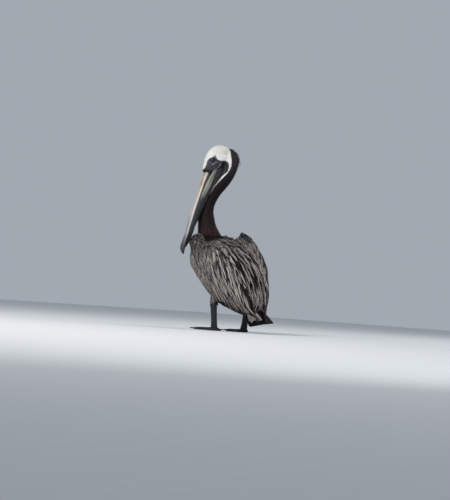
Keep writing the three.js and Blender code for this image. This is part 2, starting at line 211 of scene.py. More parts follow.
class Finish:
    """One material and the nodes that make it."""

    def __init__(self, name):
        self.material = bpy.data.materials.new(name)
        self.material.use_nodes = True
        self.tree = self.material.node_tree
        self.tree.nodes.clear()

    def node(self, kind, values=None, **settings):
        """Adds a node of any type: its settings first, then its sockets by name or number."""
        made = self.tree.nodes.new("ShaderNode" + kind)
        for key, value in settings.items():
            setattr(made, key, value)
        for key, value in (values or {}).items():
            socket = made.inputs[key]
            if isinstance(value, Wire):
                self.tree.links.new(value.socket, socket)
            elif socket.type == "RGBA":
                socket.default_value = (*value, 1.0)
            else:
                socket.default_value = value
        return made

    def wire(self, kind, values=None, output=0, **settings):
        """Adds a node and gives the wire out of it."""
        return Wire(self, self.node(kind, values, **settings).outputs[output])

    def maths(self, operation, first, second=0.0):
        return self.wire("Math", {0: first, 1: second}, operation=operation)

    def step(self, value, start, end, low=0.0, high=1.0):
        """low up to start, high from end on, and smooth between."""
        values = {0: value, 1: start, 2: end, 3: low, 4: high}
        return self.wire("MapRange", values, interpolation_type="SMOOTHSTEP")

    def mix(self, factor, first, second, blend="MIX"):
        """Two colours mixed by a factor."""
        values = {0: factor, 6: first, 7: second}
        return self.wire("Mix", values, 2, data_type="RGBA", blend_type=blend)

    def times(self, colour, shade):
        """A colour times a shade, which is one number or one for each channel."""
        return self.mix(1.0, colour, np.broadcast_to(shade, 3), "MULTIPLY")

    def place(self):
        return self.wire("TexCoord", output="Object")

    def vector(self, x, y, z):
        return self.wire("CombineXYZ", {0: x, 1: y, 2: z})

    def scaled(self, vector, scale):
        return self.wire("Mapping", {"Vector": vector, "Scale": scale})

    def noise(self, vector, scale, detail=3.0, roughness=0.55):
        values = {"Vector": vector, "Scale": scale, "Detail": detail, "Roughness": roughness}
        return self.wire("TexNoise", values)

    def cells(self, vector, scale, feature):
        values = {"Vector": vector, "Scale": scale}
        return self.wire("TexVoronoi", values, "Distance", feature=feature)

    def attribute(self, name, output="Fac"):
        return self.wire("Attribute", None, output, attribute_name=name)

    def vane(self):
        """How far off the shaft a point of a feather is, from 0 to 1, and how far along it."""
        parts = self.node("SeparateXYZ", {0: self.wire("UVMap", uv_map="vane")})
        across, way = Wire(self, parts.outputs[0]), Wire(self, parts.outputs[1])
        return self.maths("ABSOLUTE", across * 2.0 - 1.0), way

    def bump(self, height, distance, strength):
        values = {"Height": height, "Distance": distance, "Strength": strength}
        return self.wire("Bump", values)

    def surface(self, values):
        """Ends the material in one glossy surface with these sockets."""
        made = self.node("BsdfPrincipled", values)
        end = self.node("OutputMaterial")
        self.tree.links.new(made.outputs[0], end.inputs[0])
        return self.material


def feather_finish(
    name, edge, rim, streak, tip=0.0, stem=0.3, roughness=0.62, patchy=0.5, gloss=0.12
):
    """Plumage: the feather's own colour, darker outside its rim, with a shaft and fine barbs."""
    f = Finish(name)
    off, way = f.vane()
    fate = f.attribute("fate")
    tint = f.attribute("tint", "Color")
    patches = f.noise(f.vector(off * 0.9, way * 3.2, fate * 31.0), 1.7, 3.0, 0.6)
    barbs = f.noise(f.vector(off * 0.7, way * 16.0 - off * 3.0, fate * 19.0), 3.0, 2.0, 0.6)
    dull = f.times(tint, (0.5, 0.48, 0.47))
    body = f.mix(f.step(patches, 0.42, 0.66) * streak, tint, f.times(tint, (1.38, 1.36, 1.32)))
    body = f.mix(f.step(patches, 0.52, 0.3) * patchy, body, dull)
    body = f.mix(f.step(barbs, 0.45, 0.75) * 0.35, body, dull)
    outer = f.step(off + (patches - 0.5) * 0.5, rim, rim + 0.32)
    body = f.mix(outer, body, edge)
    body = f.mix((1.0 - f.step(off, 0.03, 0.13)) * stem, body, edge)
    body = f.mix((1.0 - f.step(way, 0.1, 0.55)) * 0.75, body, edge)
    ending = f.step(way, 0.7, 0.96) * (1.0 - outer) * tip
    body = f.mix(ending, body, f.times(tint, (1.6, 1.55, 1.45)))
    return f.surface(
        {
            "Base Color": body,
            "Roughness": f.step(barbs, 0.3, 0.8, roughness - 0.08, roughness + 0.14),
            "Normal": f.bump(barbs + (1.0 - off) * 0.5, 0.0005, 0.6),
            "Specular IOR Level": gloss,
        }
    )


def down_finish(name, shade, roughness=0.8, sheen=0.2, strand=0.45):
    """Short down and velvet: the marking's colour with fine strands, darker at the roots."""
    f = Finish(name)
    off, way = f.vane()
    tint = f.attribute("tint", "Color")
    lines = f.noise(f.vector(off * 2.4, way * 2.0, f.attribute("fate") * 9.0), 3.5, 2.0, 0.6)
    deep = f.times(tint, shade)
    rooted = f.mix(f.step(way, 0.0, 0.75), deep, tint)
    return f.surface(
        {
            "Base Color": f.mix(f.step(lines, 0.35, 0.75) * strand, rooted, deep),
            "Roughness": f.step(lines, 0.3, 0.8, roughness - 0.1, roughness + 0.1),
            "Normal": f.bump(lines, 0.0003, 0.5),
            "Sheen Weight": sheen,
            "Sheen Roughness": 0.4,
            "Specular IOR Level": 0.3,
        }
    )


def skin_finish():
    """The hide under the coat, and the bare wrinkled face, which carries no feathers."""
    f = Finish("hide")
    place = f.place()
    bare = f.attribute("bare")
    tint = f.attribute("tint", "Color")
    fluff = f.noise(f.scaled(place, (1, 1, 0.35)), 700.0, 3.0, 0.6)
    folds = f.cells(place, 620.0, "SMOOTH_F1")
    blotch = f.noise(place, 110.0, 4.0, 0.6)
    under = f.mix(f.step(fluff, 0.35, 0.7) * 0.6, tint, f.times(tint, 0.45))
    flesh = f.mix(f.step(blotch, 0.4, 0.7) * 0.7, tint, f.times(tint, (2.1, 2.0, 2.05)))
    flesh = f.mix(f.step(folds, 0.25, 0.7) * 0.5, flesh, f.times(tint, 0.5))
    return f.surface(
        {
            "Base Color": f.mix(bare, under, flesh),
            "Roughness": 0.86 - bare * 0.38 + blotch * 0.08,
            "Normal": f.bump(folds * bare * 0.7 + blotch * 0.3 + fluff * 0.3, 0.0008, 0.5),
            "Specular IOR Level": 0.4,
        }
    )


# ---------------------------------------------------------------- making meshes


def alone(piece):
    """Deselects everything but one piece, which becomes the one that operators act on."""
    bpy.ops.object.select_all(action="DESELECT")
    piece.select_set(True)
    bpy.context.view_layer.objects.active = piece


def edit(piece, chosen=None):
    """Opens a piece for editing, with the chosen corners selected, or all of it."""
    alone(piece)
    mesh = piece.data
    if chosen is None:
        bpy.ops.object.mode_set(mode="EDIT")
        bpy.ops.mesh.select_all(action="SELECT")
        return
    mesh.vertices.foreach_set("select", chosen)
    for items in (mesh.edges, mesh.polygons):
        items.foreach_set("select", np.zeros(len(items), bool))
    bpy.ops.object.mode_set(mode="EDIT")
    bpy.ops.mesh.select_mode(type="VERT")


def edit_done():
    bpy.ops.object.mode_set(mode="OBJECT")


def finished(kind, piece, **settings):
    """Adds a modifier and applies it."""
    alone(piece)
    modifier = piece.modifiers.new(kind.lower(), kind)
    for key, value in settings.items():
        setattr(modifier, key, value)
    bpy.ops.object.modifier_apply(modifier=modifier.name)


def copied(name, nodes):
    """One new piece from merged copies of CAD nodes."""
    copies = []
    for node in nodes:
        twin = bpy.data.objects.new(name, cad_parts[node].data.copy())
        bpy.context.scene.collection.objects.link(twin)
        copies.append(twin)
    alone(copies[0])
    for twin in copies:
        twin.select_set(True)
    if len(copies) > 1:
        bpy.ops.object.join()
    piece = bpy.context.view_layer.objects.active
    piece.name = name
    edit(piece)
    bpy.ops.mesh.remove_doubles(threshold=0.00002)
    edit_done()
    return piece


def gathered(items, key, width, number=np.float32):
    """One property of many parts of a mesh, as rows."""
    values = np.empty(len(items) * width, number)
    items.foreach_get(key, values)
    return values.reshape(-1, width)


def places_of(mesh):
    return gathered(mesh.vertices, "co", 3).astype(float)


def normals_of(mesh):
    return gathered(mesh.vertices, "normal", 3).astype(float)


def put(mesh, places):
    mesh.vertices.foreach_set("co", np.ascontiguousarray(places, np.float32).ravel())
    mesh.update()


def fused(piece, voxel, rounds):
    """Turns the shells of a piece into one even surface and drops what is left inside it."""
    finished("REMESH", piece, mode="VOXEL", voxel_size=voxel * MM)
    finished("SMOOTH", piece, factor=0.5, iterations=rounds)
    a, b = gathered(piece.data.edges, "vertices", 2, np.int32).T
    shell = np.arange(len(piece.data.vertices))
    while True:
        before = shell.copy()
        low = np.minimum(shell[a], shell[b])
        np.minimum.at(shell, a, low)
        np.minimum.at(shell, b, low)
        shell = shell[shell]
        if (shell == before).all():
            break
    edit(piece, shell != np.bincount(shell).argmax())
    bpy.ops.mesh.delete(type="VERT")
    edit_done()
    return piece


def evened(mesh, values, rounds):
    """Values at the corners of a mesh, each drawn half way to the mean of its neighbours."""
    a, b = gathered(mesh.edges, "vertices", 2, np.int32).T
    count = len(mesh.vertices)
    degree = np.maximum(np.bincount(a, minlength=count) + np.bincount(b, minlength=count), 1)
    flat = values.reshape(count, -1).astype(float)
    for _ in range(rounds):
        sums = [np.bincount(a, c[b], count) + np.bincount(b, c[a], count) for c in flat.T]
        flat = (flat + np.stack(sums, axis=1) / degree[:, None]) / 2
    return flat.reshape(values.shape)


def refined(piece, chosen):
    """Divides the chosen corners' faces and relaxes them."""
    edit(piece, chosen)
    bpy.ops.mesh.select_mode(type="FACE")
    bpy.ops.mesh.subdivide(number_cuts=1)
    for _ in range(2):
        bpy.ops.mesh.vertices_smooth(factor=0.5)
    edit_done()


def tell(mesh, name, values):
    """Stores one number or one colour for each corner of a mesh."""
    if values.ndim == 1:
        layer = mesh.attributes.new(name, "FLOAT", "POINT")
        layer.data.foreach_set("value", values.astype(np.float32))
    else:
        layer = mesh.attributes.new(name, "FLOAT_COLOR", "POINT")
        full = np.concatenate([values, np.ones((len(values), 1))], axis=1)
        layer.data.foreach_set("color", full.astype(np.float32).ravel())


def shown(piece, material, slot, *nodes):
    """Smooths a piece, gives it its finish and its body, and hides the CAD nodes that it replaces.
    """
    alone(piece)
    bpy.ops.object.shade_smooth()
    piece.data.materials.clear()
    piece.data.materials.append(material)
    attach(piece, "root")
    if nodes:
        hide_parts(*nodes)


# ---------------------------------------------------------------- markings

FACE = [  # the bare face and the pouch's side, ahead of the brow and over it
    (-5, 5), (-14, 4.5), (-17, 1), (-28, 0.5), (-41, 0.5), (-47, -1), (-54, -4), (-61, -11),
    (-71, -20), (-64, -23), (-58, -29), (-57, -37), (-60, -46), (-63, -56), (-63, -66),
    (-53, -75), (-39, -78), (-28, -77.5), (-9, -65.5), (5, -59.5), (20, -54), (34, -48.5),
    (48, -45.5), (62, -43.5), (62, 12),
]
CAP = [  # all that isn't maroon: the white crown and cheek, and the line along the pouch
    (70, 50), (-140, 50), (-140, -58), (-99, -67), (-87, -70), (-76, -75), (-62, -80),
    (-53, -82), (-40, -82), (-30, -80.5), (-12, -71.5), (2, -65), (17, -58), (32, -51.5),
    (46, -47.5), (58, -44.5),
]
POUCH_HEM = [  # how low the pouch's side hangs, along the head
    (-60, -95), (-28, -75), (-9, -64), (5, -58), (20, -52.5), (34, -47), (48, -45), (62, -46),
    (90, -70),
]
GAPE_RIDGE = np.array([(-16, -33), (-28, -42), (-36, -45.5), (-45, -47.5)], float)
LID_FOLD = np.array([(-33, -15), (-36, -19), (-43, -25), (-48, -33)], float)
CHEEK_FOLD = np.array([(-26, -11), (-21, -15), (-19, -21), (-23, -26)], float)
# The fold behind the near wing's edge, along which painted shade is laid.
SHADED_FOLD = spots((97, 60, 313), (99, 23, 298), (98, -5, 282), (90, -29, 268))
SHADOW_GAP = spots(
    (41, -62, 242), (48, -81, 215), (43, -90, 202),
    (36, -104, 183), (25, -115, 161), (26, -122, 138),
)
# The kinds of flesh, by number, with how deep their coat is.
FLESH = {
    "trunk": 5.0,
    "wing_left": 5.5,
    "wing_right": 5.5,
    "neck_lower": 3.5,
    "neck_middle": 2.4,
    "neck_upper": 2.0,
    "head": 1.6,
    "thigh_left": 3.5,
    "thigh_right": 3.5,
}
TRUNK, NEAR_WING, FAR_WING, HEAD = 0, 1, 2, 6
BODY, WINGS, NECK, THIGHS = (0, 1, 2), (1, 2), (3, 4, 5), (7, 8)
BODY_SLOT = "body_feathers"
BROAD = 40  # rounds of evening that leave only the broad form in the skin's normals


def from_shoulder(places):
    """How far each place is from where its side's feathers fan out, and the way from there."""
    base = np.repeat(spot(0, 150, 322)[None], len(places), 0)
    base[:, 0] = np.tanh(places[:, 0] / (40 * MM)) * 70 * MM
    return np.linalg.norm(places - base, axis=1) / MM, unit(places - base)


def in_collar(places, kind):
    """How far within the collar each place of the trunk lies, where the neck's velvet grows."""
    left, forward, high = on_bird(places)
    round_neck = 40 - np.hypot(left - 34, forward - 86)
    reach = np.maximum(round_neck, 43 - along(places, NECK_LINE)[1])
    return np.where(kind == TRUNK, ease(reach, -1.5, 1.5) * ease(high, 282, 292), 0)


def shagginess(places, kind):
    """How shaggy the coat is: smooth on the breast and the far wing, in strands behind."""
    _, forward, high = on_bird(places)
    return ease(-forward - 0.45 * (269 - high), -22, 28) * np.where(kind == FAR_WING, 0.2, 1)


def ripple(places, across, seed):
    """A smooth value from 0 to 1 that drifts over the bird in upright patches."""
    ways = unit(np.random.default_rng(seed).normal(size=(7, 3))) * (1, 1, 0.38)
    turns = np.arange(7) * 1.7 + seed
    waves = np.sin(places / MM @ ways.T * (2 * math.pi / across) + turns).sum(1)
    return 0.5 + 0.5 * np.tanh(waves / 2.4)


def gap_at(places):
    """How much of the under layer of painted shadow shows: along one ragged line and in scattered
    slits.
    """
    left, forward, _ = on_bird(places)
    ragged = 8 * (ripple(places, 24, 12) - 0.5)
    line = ease(-along(places, SHADOW_GAP)[1], -7 - ragged, -2.5)
    slits = ease(ripple(places, 15, 11), 0.74, 0.86) * ease(-forward, 20, 50)
    return np.maximum(line, slits) * (left > -50)


def body_tints(places, normals, kind):
    """The colour of the trunk's and wings' plumage at each place."""
    reach, _ = from_shoulder(places)
    _, forward, high = on_bird(places)
    wing = np.isin(kind, WINGS).astype(float)
    rise = ease(normals[:, 2], 0.15, 0.7)
    low = ease(-normals[:, 2], 0.1, 0.75)
    inner = wing * ease(-normals[:, 0] * np.sign(places[:, 0]), -0.2, 0.3)
    # how much higher the underside's dark and painted shade reach on the rear of the trunk
    rear_dark_and_shade = 0.24 * (kind == TRUNK) * ease(-forward, -20, 10)
    collar = in_collar(places, kind)
    # the thighs' own dark with painted shade, less of it on the near leg's upper front
    trousers = 0.95 - 0.75 * ease(forward, 11, 18) * ease(high, 92, 108)
    layers = [
        # the back and the wings, paler with distance from the shoulder
        (ease(reach, 70, 190) * np.maximum(wing, rise) * 0.9, SILVER),
        (rise * (1 - ease(reach, 90, 170)) * 0.8, MANTLE),
        (inner * ease(reach, 60, 120), PINK_BEIGE),
        (ease(reach, 200, 300) * wing * 0.5, PINK_BEIGE),
        # the breast, drawn paler than its own dark brown as painted light, and what lies below
        ((1 - ease(-forward, -75, -20)) * (1 - rise) * 0.6, COOL_TAUPE),
        # the belly's own dark with painted shade: darker where the surface faces down, near black
        # under it
        (low * (0.55 - 0.4 * ease(forward, 10, 50)), VENT_AND_UNDER_SHADE),
        (ease(rear_dark_and_shade - normals[:, 2], 0.46, 0.84) * 0.92, UNDERSIDE_DARK_AND_SHADE),
        (ease(-high, -105, -70) * (kind == TRUNK) * 0.8, VENT_AND_UNDER_SHADE),
        # the wings' front edges; the thighs, their own dark with painted shade; painted shade in
        # the fold behind the near wing's edge; the collar
        ((kind == NEAR_WING) * ease(forward, 0, 45) * ease(high, 250, 285) * 0.75, LOBE),
        ((kind == FAR_WING) * ease(forward, -14, 4) * ease(high, 321, 329) * 0.95, SLATE),
        (np.isin(kind, THIGHS) * trousers, THIGH_DARK_AND_SHADE),
        # painted shade along the fold behind the near wing's edge
        (np.isin(kind, BODY) * ease(-along(places, SHADED_FOLD)[1], -8, -3) * 0.8, THIGH_DARK_AND_SHADE),
        (collar, MAROON),
        (collar * (0.05 + 0.45 * ripple(places, 34, 4)), MAROON_GLOW),
    ]
    tint = np.repeat(TAUPE[None], len(places), 0)
    for amount, colour in layers:
        tint = blended(tint, amount, colour)
    return tint


def face_tints(head, places, bare):
    """The colour of the bare face: gorge, painted shade in the eye socket, mottling, folds of the
    lids and gape.
    """
    ahead, over = head[:, 0] - EYE[0], head[:, 1] - EYE[1]
    ring = np.hypot(ahead, over * 0.9)
    corner = 1.7 + np.hypot(ahead + 1.5, over + 4.5)

    def fold(line, width):
        return np.exp(-((along(head[:, :2] * MM, line * MM)[1] / width) ** 2))

    lid = np.exp(-(((ring - 9.4) / 1.3) ** 2)) * ease(ahead, 1, 7) * 0.4
    for line, strength in ((LID_FOLD, 0.5), (CHEEK_FOLD, 0.12)):
        lid = np.maximum(lid, strength * fold(line, 2.6))
    gorge = np.maximum(ease(-head[:, 1], 48, 54), ease(head[:, 0], -24, -10)) * bare
    # painted shade in the eye socket: the skin close round the eye is darkened
    socket = 1 - ease(np.minimum(ring, corner), 7.5, 11)
    flesh = blended(BARE_FACE, gorge, GORGE) * (1 - 0.6 * socket[:, None])
    flesh = flesh * (1 - 0.55 * ease(ripple(places, 11, 6), 0.5, 0.9))[:, None]
    flesh = blended(flesh, lid, PALE_LID)
    return blended(flesh, fold(GAPE_RIDGE, 2.4) * 0.9, RIDGE_GREY)


def markings(places, normals, kind):
    """The colour of the coat at each place, and how bare it is there."""
    head = in_head(places)
    high = on_bird(places)[2]
    bare = ease(inside(head[:, :2], FACE), -0.6, 0.6)
    white = ease(inside(head[:, :2], CAP), -0.7, 0.7)
    white = white * (1 - ease(head[:, 0], 0, 20) * (1 - ease(np.abs(head[:, 2]), 3, 7)))
    tint = np.repeat(MAROON[None], len(places), 0)
    glow = ease(high, 430, 310) * 0.5 * (0.35 + 1.1 * ripple(places, 34, 4))
    tint = blended(tint, glow, MAROON_GLOW)
    tint = blended(tint, ease(high, 500, 580) * 0.7, NAPE)
    tint = blended(tint, white, blended(WHITE_DOWN, ease(-head[:, 0], 60, 110) * 0.6, CREAM_DOWN))
    tint = blended(tint, bare, face_tints(head, places, bare))
    body = np.isin(kind, BODY + THIGHS)
    return np.where(body[:, None], body_tints(places, normals, kind), tint), np.where(body, 0, bare)


def lie(places, normals, kind):
    """Which way the coat lies at each place, from root to tip."""
    reach, radial = from_shoulder(places)
    drop = (0.1 + 1.1 * ease(reach, 40, 190)) * (0.2 + 0.8 * ease(on_bird(places)[2], 80, 120))
    body = radial * 0.65 + along(places, TRUNK_LINE)[0] * 0.6 - UP * drop[:, None]
    # The crown's down runs round the jaw's hinge, and straight back close to it.
    head = in_head(places)
    ahead, over = head[:, 0] + 58, head[:, 1] + 50
    far = np.hypot(ahead, over)
    turn = np.stack([over, -ahead], axis=1) / np.maximum(far, 1)[:, None]
    bent = ease(far, 8, 40)[:, None]
    swirl = turn * bent + np.array((0.35, -0.94)) * (1 - bent)
    crown = swirl[:, :1] * AHEAD[None] + swirl[:, 1:] * OVER[None]
    choice = np.where(np.isin(kind, NECK)[:, None], along(places, NECK_LINE)[0], body)
    choice = np.where((kind == HEAD)[:, None], crown, choice)
    choice = np.where(np.isin(kind, THIGHS)[:, None], -UP[None], choice)
    choice = choice - (choice * normals).sum(1, keepdims=True) * normals
    return unit(choice)


# ---------------------------------------------------------------- the skin


def nearest_nodes(places, nodes):
    """The number of the CAD node that is nearest to each place, and its nearest point."""
    corners, faces, owner = [], [], []
    for number, node in enumerate(nodes):
        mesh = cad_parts[node].data
        base = len(corners)
        corners.extend(tuple(v.co) for v in mesh.vertices)
        for face in mesh.polygons:
            faces.append([base + i for i in face.vertices])
            owner.append(number)
    tree = BVHTree.FromPolygons(corners, faces)
    found = [tree.find_nearest(Vector(p)) for p in places]
    return np.array([owner[f[2]] for f in found]), np.array([f[0] for f in found])


def shaped_face(piece):
    """Presses the eye sockets in and raises the lids round them."""
    head = in_head(places_of(piece.data))
    ring = np.hypot(head[:, 0] - EYE[0], (head[:, 1] - EYE[1]) * 1.28)
    lens = EYE[2] + math.sqrt(EYE_RADIUS**2 - EYE_OPENING**2)
    for side in (1, -1):
        on = (head[:, 2] * side > 8) & (ring < 22)
        rest = head[:, 2] * side
        hollow = np.minimum(rest, lens + 0.9 + 0.5 * np.maximum(ring - 7, 0))
        level = rest + (hollow - rest) * (1 - ease(ring, 9, 19))
        level += 0.9 * np.exp(-(((ring - 7.4) / 1.2) ** 2))
        level -= 0.6 * np.exp(-(((ring - 10.4) / 1.3) ** 2))
        edge = EYE_OPENING + 0.1
        level = np.where(ring < edge, level - 7 * ease(edge - ring, 0, 0.7), level)
        head[:, 2] = np.where(on, level * side, head[:, 2])
    put(piece.data, BROW + head @ HEAD_AXES * MM)


def make_skin():
    """One skin for all the flesh, as deep inside the solids as its coat is thick."""
    piece = fused(copied("skin", FLESH), voxel=2.9, rounds=10)
    head = in_head(places_of(piece.data))
    refined(piece, (head[:, 0] < 60) & (head[:, 1] > -90) & (np.abs(head[:, 2]) < 40))
    head = in_head(places_of(piece.data))
    near = np.hypot(head[:, 0] - EYE[0], head[:, 1] - EYE[1])
    refined(piece, (near < 18) & (np.abs(head[:, 2]) > 10))
    mesh = piece.data
    places = places_of(mesh)
    normals = normals_of(mesh)
    kind, surface = nearest_nodes(places, FLESH)
    on_body = np.isin(kind, BODY)
    tint, bare = markings(places, unit(evened(mesh, normals, BROAD)), kind)
    depth = evened(mesh, np.array(list(FLESH.values()))[kind], 12) * (1 - bare)
    # Less where the surface has already drawn in, and at the near wing's front edge.
    drawn_in = evened(mesh, np.clip(((surface - places) * normals).sum(1) / MM, 0, 6), 6)
    _, forward, high = on_bird(places)
    depth -= drawn_in * on_body
    depth += 7 * ease(forward, 42, 54) * ease(high, 296, 312) * (kind == FAR_WING)
    depth -= 6 * ease(forward, 58, 76) * ease(high, 280, 298) * (kind == NEAR_WING)
    put(mesh, places - normals * depth[:, None] * MM)
    shaped_face(piece)
    # Painted shadow: the skin of the trunk and wings is darkened, most where the coat is shaggy, so
    # it shows dark between the feathers.
    shaded = np.where(on_body, 0.5 - 0.36 * shagginess(places, kind), 1)
    tell(mesh, "tint", tint * shaded[:, None])
    tell(mesh, "bare", bare)
    edit(piece)
    mesh.uv_layers.new(name="OFBake")
    bpy.ops.uv.smart_project(angle_limit=math.radians(66), island_margin=0.002)
    edit_done()
    shown(piece, skin_finish(), BODY_SLOT, *FLESH)
    return piece, kind


# ---------------------------------------------------------------- the coat

TRIES = 5  # places that are tried for each root
CLOSEST = 0.82  # how near two roots may be, as a share of their spacing
STIFFNESS = 0.7  # how much of its way a feather keeps from step to step
ROOT_DEPTH = 0.3  # how far below the skin a feather starts
FLAT_BEND = 0.3  # how far a feather's sides fall, as a share of its half width
QUILL_BEND = 0.16  # the same for the stiff feathers of the tail and the wings' tips


def planted(places):
    """A tree that finds the nearest of some places."""
    tree = KDTree(len(places))
    for i, p in enumerate(places):
        tree.insert(p, i)
    tree.balance()
    return tree


def thinned(places, reach):
    """Which places stay when none may lie within its reach of an earlier one."""
    tree = planted(places)
    kept = np.ones(len(places), bool)
    for i in range(len(places)):
        if kept[i]:
            for _, j, _ in tree.find_range(places[i], reach[i]):
                if j > i:
                    kept[j] = False
    return np.flatnonzero(kept)


class Hide:
    """The skin as the coat grows on it: its surface, the lie of the coat and the markings."""

    def __init__(self, piece, kind):
        mesh = piece.data
        mesh.calc_loop_triangles()
        self.places = places_of(mesh)
        self.normals = normals_of(mesh)
        self.broad = unit(evened(mesh, self.normals, BROAD))
        self.kind = kind
        self.flow = unit(evened(mesh, lie(self.places, self.normals, kind), 24))
        self.tris = gathered(mesh.loop_triangles, "vertices", 3, np.int32)
        loops = gathered(mesh.loop_triangles, "loops", 3, np.int32)
        self.unwrap = gathered(mesh.uv_layers["OFBake"].data, "uv", 2)[loops]
        corners = self.places[self.tris]
        edge = np.cross(corners[:, 1] - corners[:, 0], corners[:, 2] - corners[:, 0])
        self.area = np.linalg.norm(edge, axis=1) / 2
        self.tree = BVHTree.FromPolygons(self.places.tolist(), self.tris.tolist())

    def roots(self, spacing):
        """Roots scattered at a spacing that is given at each corner, with 0 where none grow."""
        gap = np.where(spacing > 0, spacing, 1e9) * MM
        wanted = self.area / gap[self.tris].mean(1) ** 2 * TRIES
        pick = luck.choice(len(wanted), int(wanted.sum()), p=wanted / wanted.sum())
        share = luck.dirichlet((1, 1, 1), len(pick))
        place = (self.places[self.tris[pick]] * share[..., None]).sum(1)
        reach = (gap[self.tris[pick]] * share).sum(1) * CLOSEST
        kept = thinned(place, reach)
        return place[kept], pick[kept], share[kept]

    def nearest(self, places):
        found = [self.tree.find_nearest(Vector(p)) for p in places]
        place = np.array([f[0] for f in found])
        tri = np.array([f[2] for f in found])
        gap = np.linalg.norm(self.places[self.tris[tri]] - place[:, None], axis=2)
        share = 1 / np.maximum(gap, 1e-5)
        return place, tri, share / share.sum(1, keepdims=True)

    def read(self, values, tri, share):
        return (values[self.tris[tri]] * share[..., None]).sum(1)

    def number(self, value, tri, share):
        """A size between the skin's corners, from one number or one for each corner."""
        whole = np.broadcast_to(np.asarray(value, float), (len(self.places),))
        return self.read(whole[:, None], tri, share)[:, 0]


def vanes(name, path, up, half, arch, roots, tint, material, slot, columns):
    """Joins many feathers to one mesh. Each has a path, the way up along it and its half widths."""
    count, rows, _ = path.shape
    way = unit(np.gradient(path, axis=1))
    side = unit(np.cross(way, up))
    lift = unit(np.cross(side, way))
    cross = np.linspace(-1, 1, columns)
    fall = (cross**2)[None, None, :, None] * (arch * half)[..., None, None]
    place = path[:, :, None] + side[:, :, None] * (half[..., None] * cross)[..., None]
    place = place - lift[:, :, None] * fall
    number = np.arange(count * rows * columns).reshape(count, rows, columns)
    corners = [number[:, :-1, :-1], number[:, :-1, 1:], number[:, 1:, 1:], number[:, 1:, :-1]]
    quads = np.stack(corners, axis=-1).reshape(-1, 4)
    mesh = bpy.data.meshes.new(name)
    mesh.vertices.add(number.size)
    mesh.loops.add(quads.size)
    mesh.polygons.add(len(quads))
    mesh.vertices.foreach_set("co", place.astype(np.float32).ravel())
    mesh.loops.foreach_set("vertex_index", quads.ravel().astype(np.int32))
    mesh.polygons.foreach_set("loop_start", np.arange(0, quads.size, 4, dtype=np.int32))
    mesh.update(calc_edges=True)
    u = np.broadcast_to((cross + 1) / 2, (count, rows, columns))
    v = np.broadcast_to(np.linspace(0, 1, rows)[None, :, None], u.shape)
    flat = np.stack([u, v], axis=-1)
    low, high = roots.min(0), roots.max(0)
    # In the unwrapping each feather has a small patch of its own.
    spread = 0.01 + 0.98 * (roots - low) / np.maximum(high - low, 1e-6)
    patch = spread[:, None, None] + (flat - 0.5) * 0.003
    for layer, values in (("OFBake", patch), ("vane", flat)):
        made = mesh.uv_layers.new(name=layer)
        made.data.foreach_set("uv", values.reshape(-1, 2)[quads.ravel()].astype(np.float32).ravel())
    tell(mesh, "fate", np.repeat(luck.random(count), rows * columns))
    tell(mesh, "tint", np.clip(np.repeat(tint, rows * columns, axis=0), 0, 1))
    piece = bpy.data.objects.new(name, mesh)
    bpy.context.scene.collection.objects.link(piece)
    shown(piece, material, slot)
    return piece


def laid(hide, place, normal, way, reach, height, bend, rows, climb, free):
    """Feathers' paths over the skin, the way up along them, and which of them ran off it."""
    path, ups = [place - normal * ROOT_DEPTH * MM], [normal]
    stride, loose = reach / rows, np.zeros(len(place), bool)
    for row in range(1, rows + 1):
        ahead = place + way * stride[:, None]
        place, tri, share = hide.nearest(ahead)
        fresh = unit(hide.read(hide.normals, tri, share))
        # Past the end of the skin a feather goes straight on.
        loose |= np.linalg.norm(place - ahead, axis=1) > 0.6 * stride
        loose |= (fresh * normal).sum(1) < 0.6
        off = loose[:, None]
        place = np.where(off, ahead, place)
        stride = np.where(loose, stride * free, stride)
        normal = np.where(off, normal, unit(fresh * 0.7 + normal * 0.3))
        path.append(place + normal * (height * (row / rows) ** climb)[:, None])
        ups.append(normal)
        flow = np.where(off, way, unit(hide.read(hide.flow, tri, share)))
        way = way * STIFFNESS + flow * (1 - STIFFNESS)
        way = way + np.cross(normal, way) * np.tan(bend)[:, None]
        way = unit(way - (way * normal).sum(1, keepdims=True) * normal)
        bend = bend * -0.6 if row % 2 else bend * 0.9
    return np.stack(path, axis=1), np.stack(ups, axis=1), loose


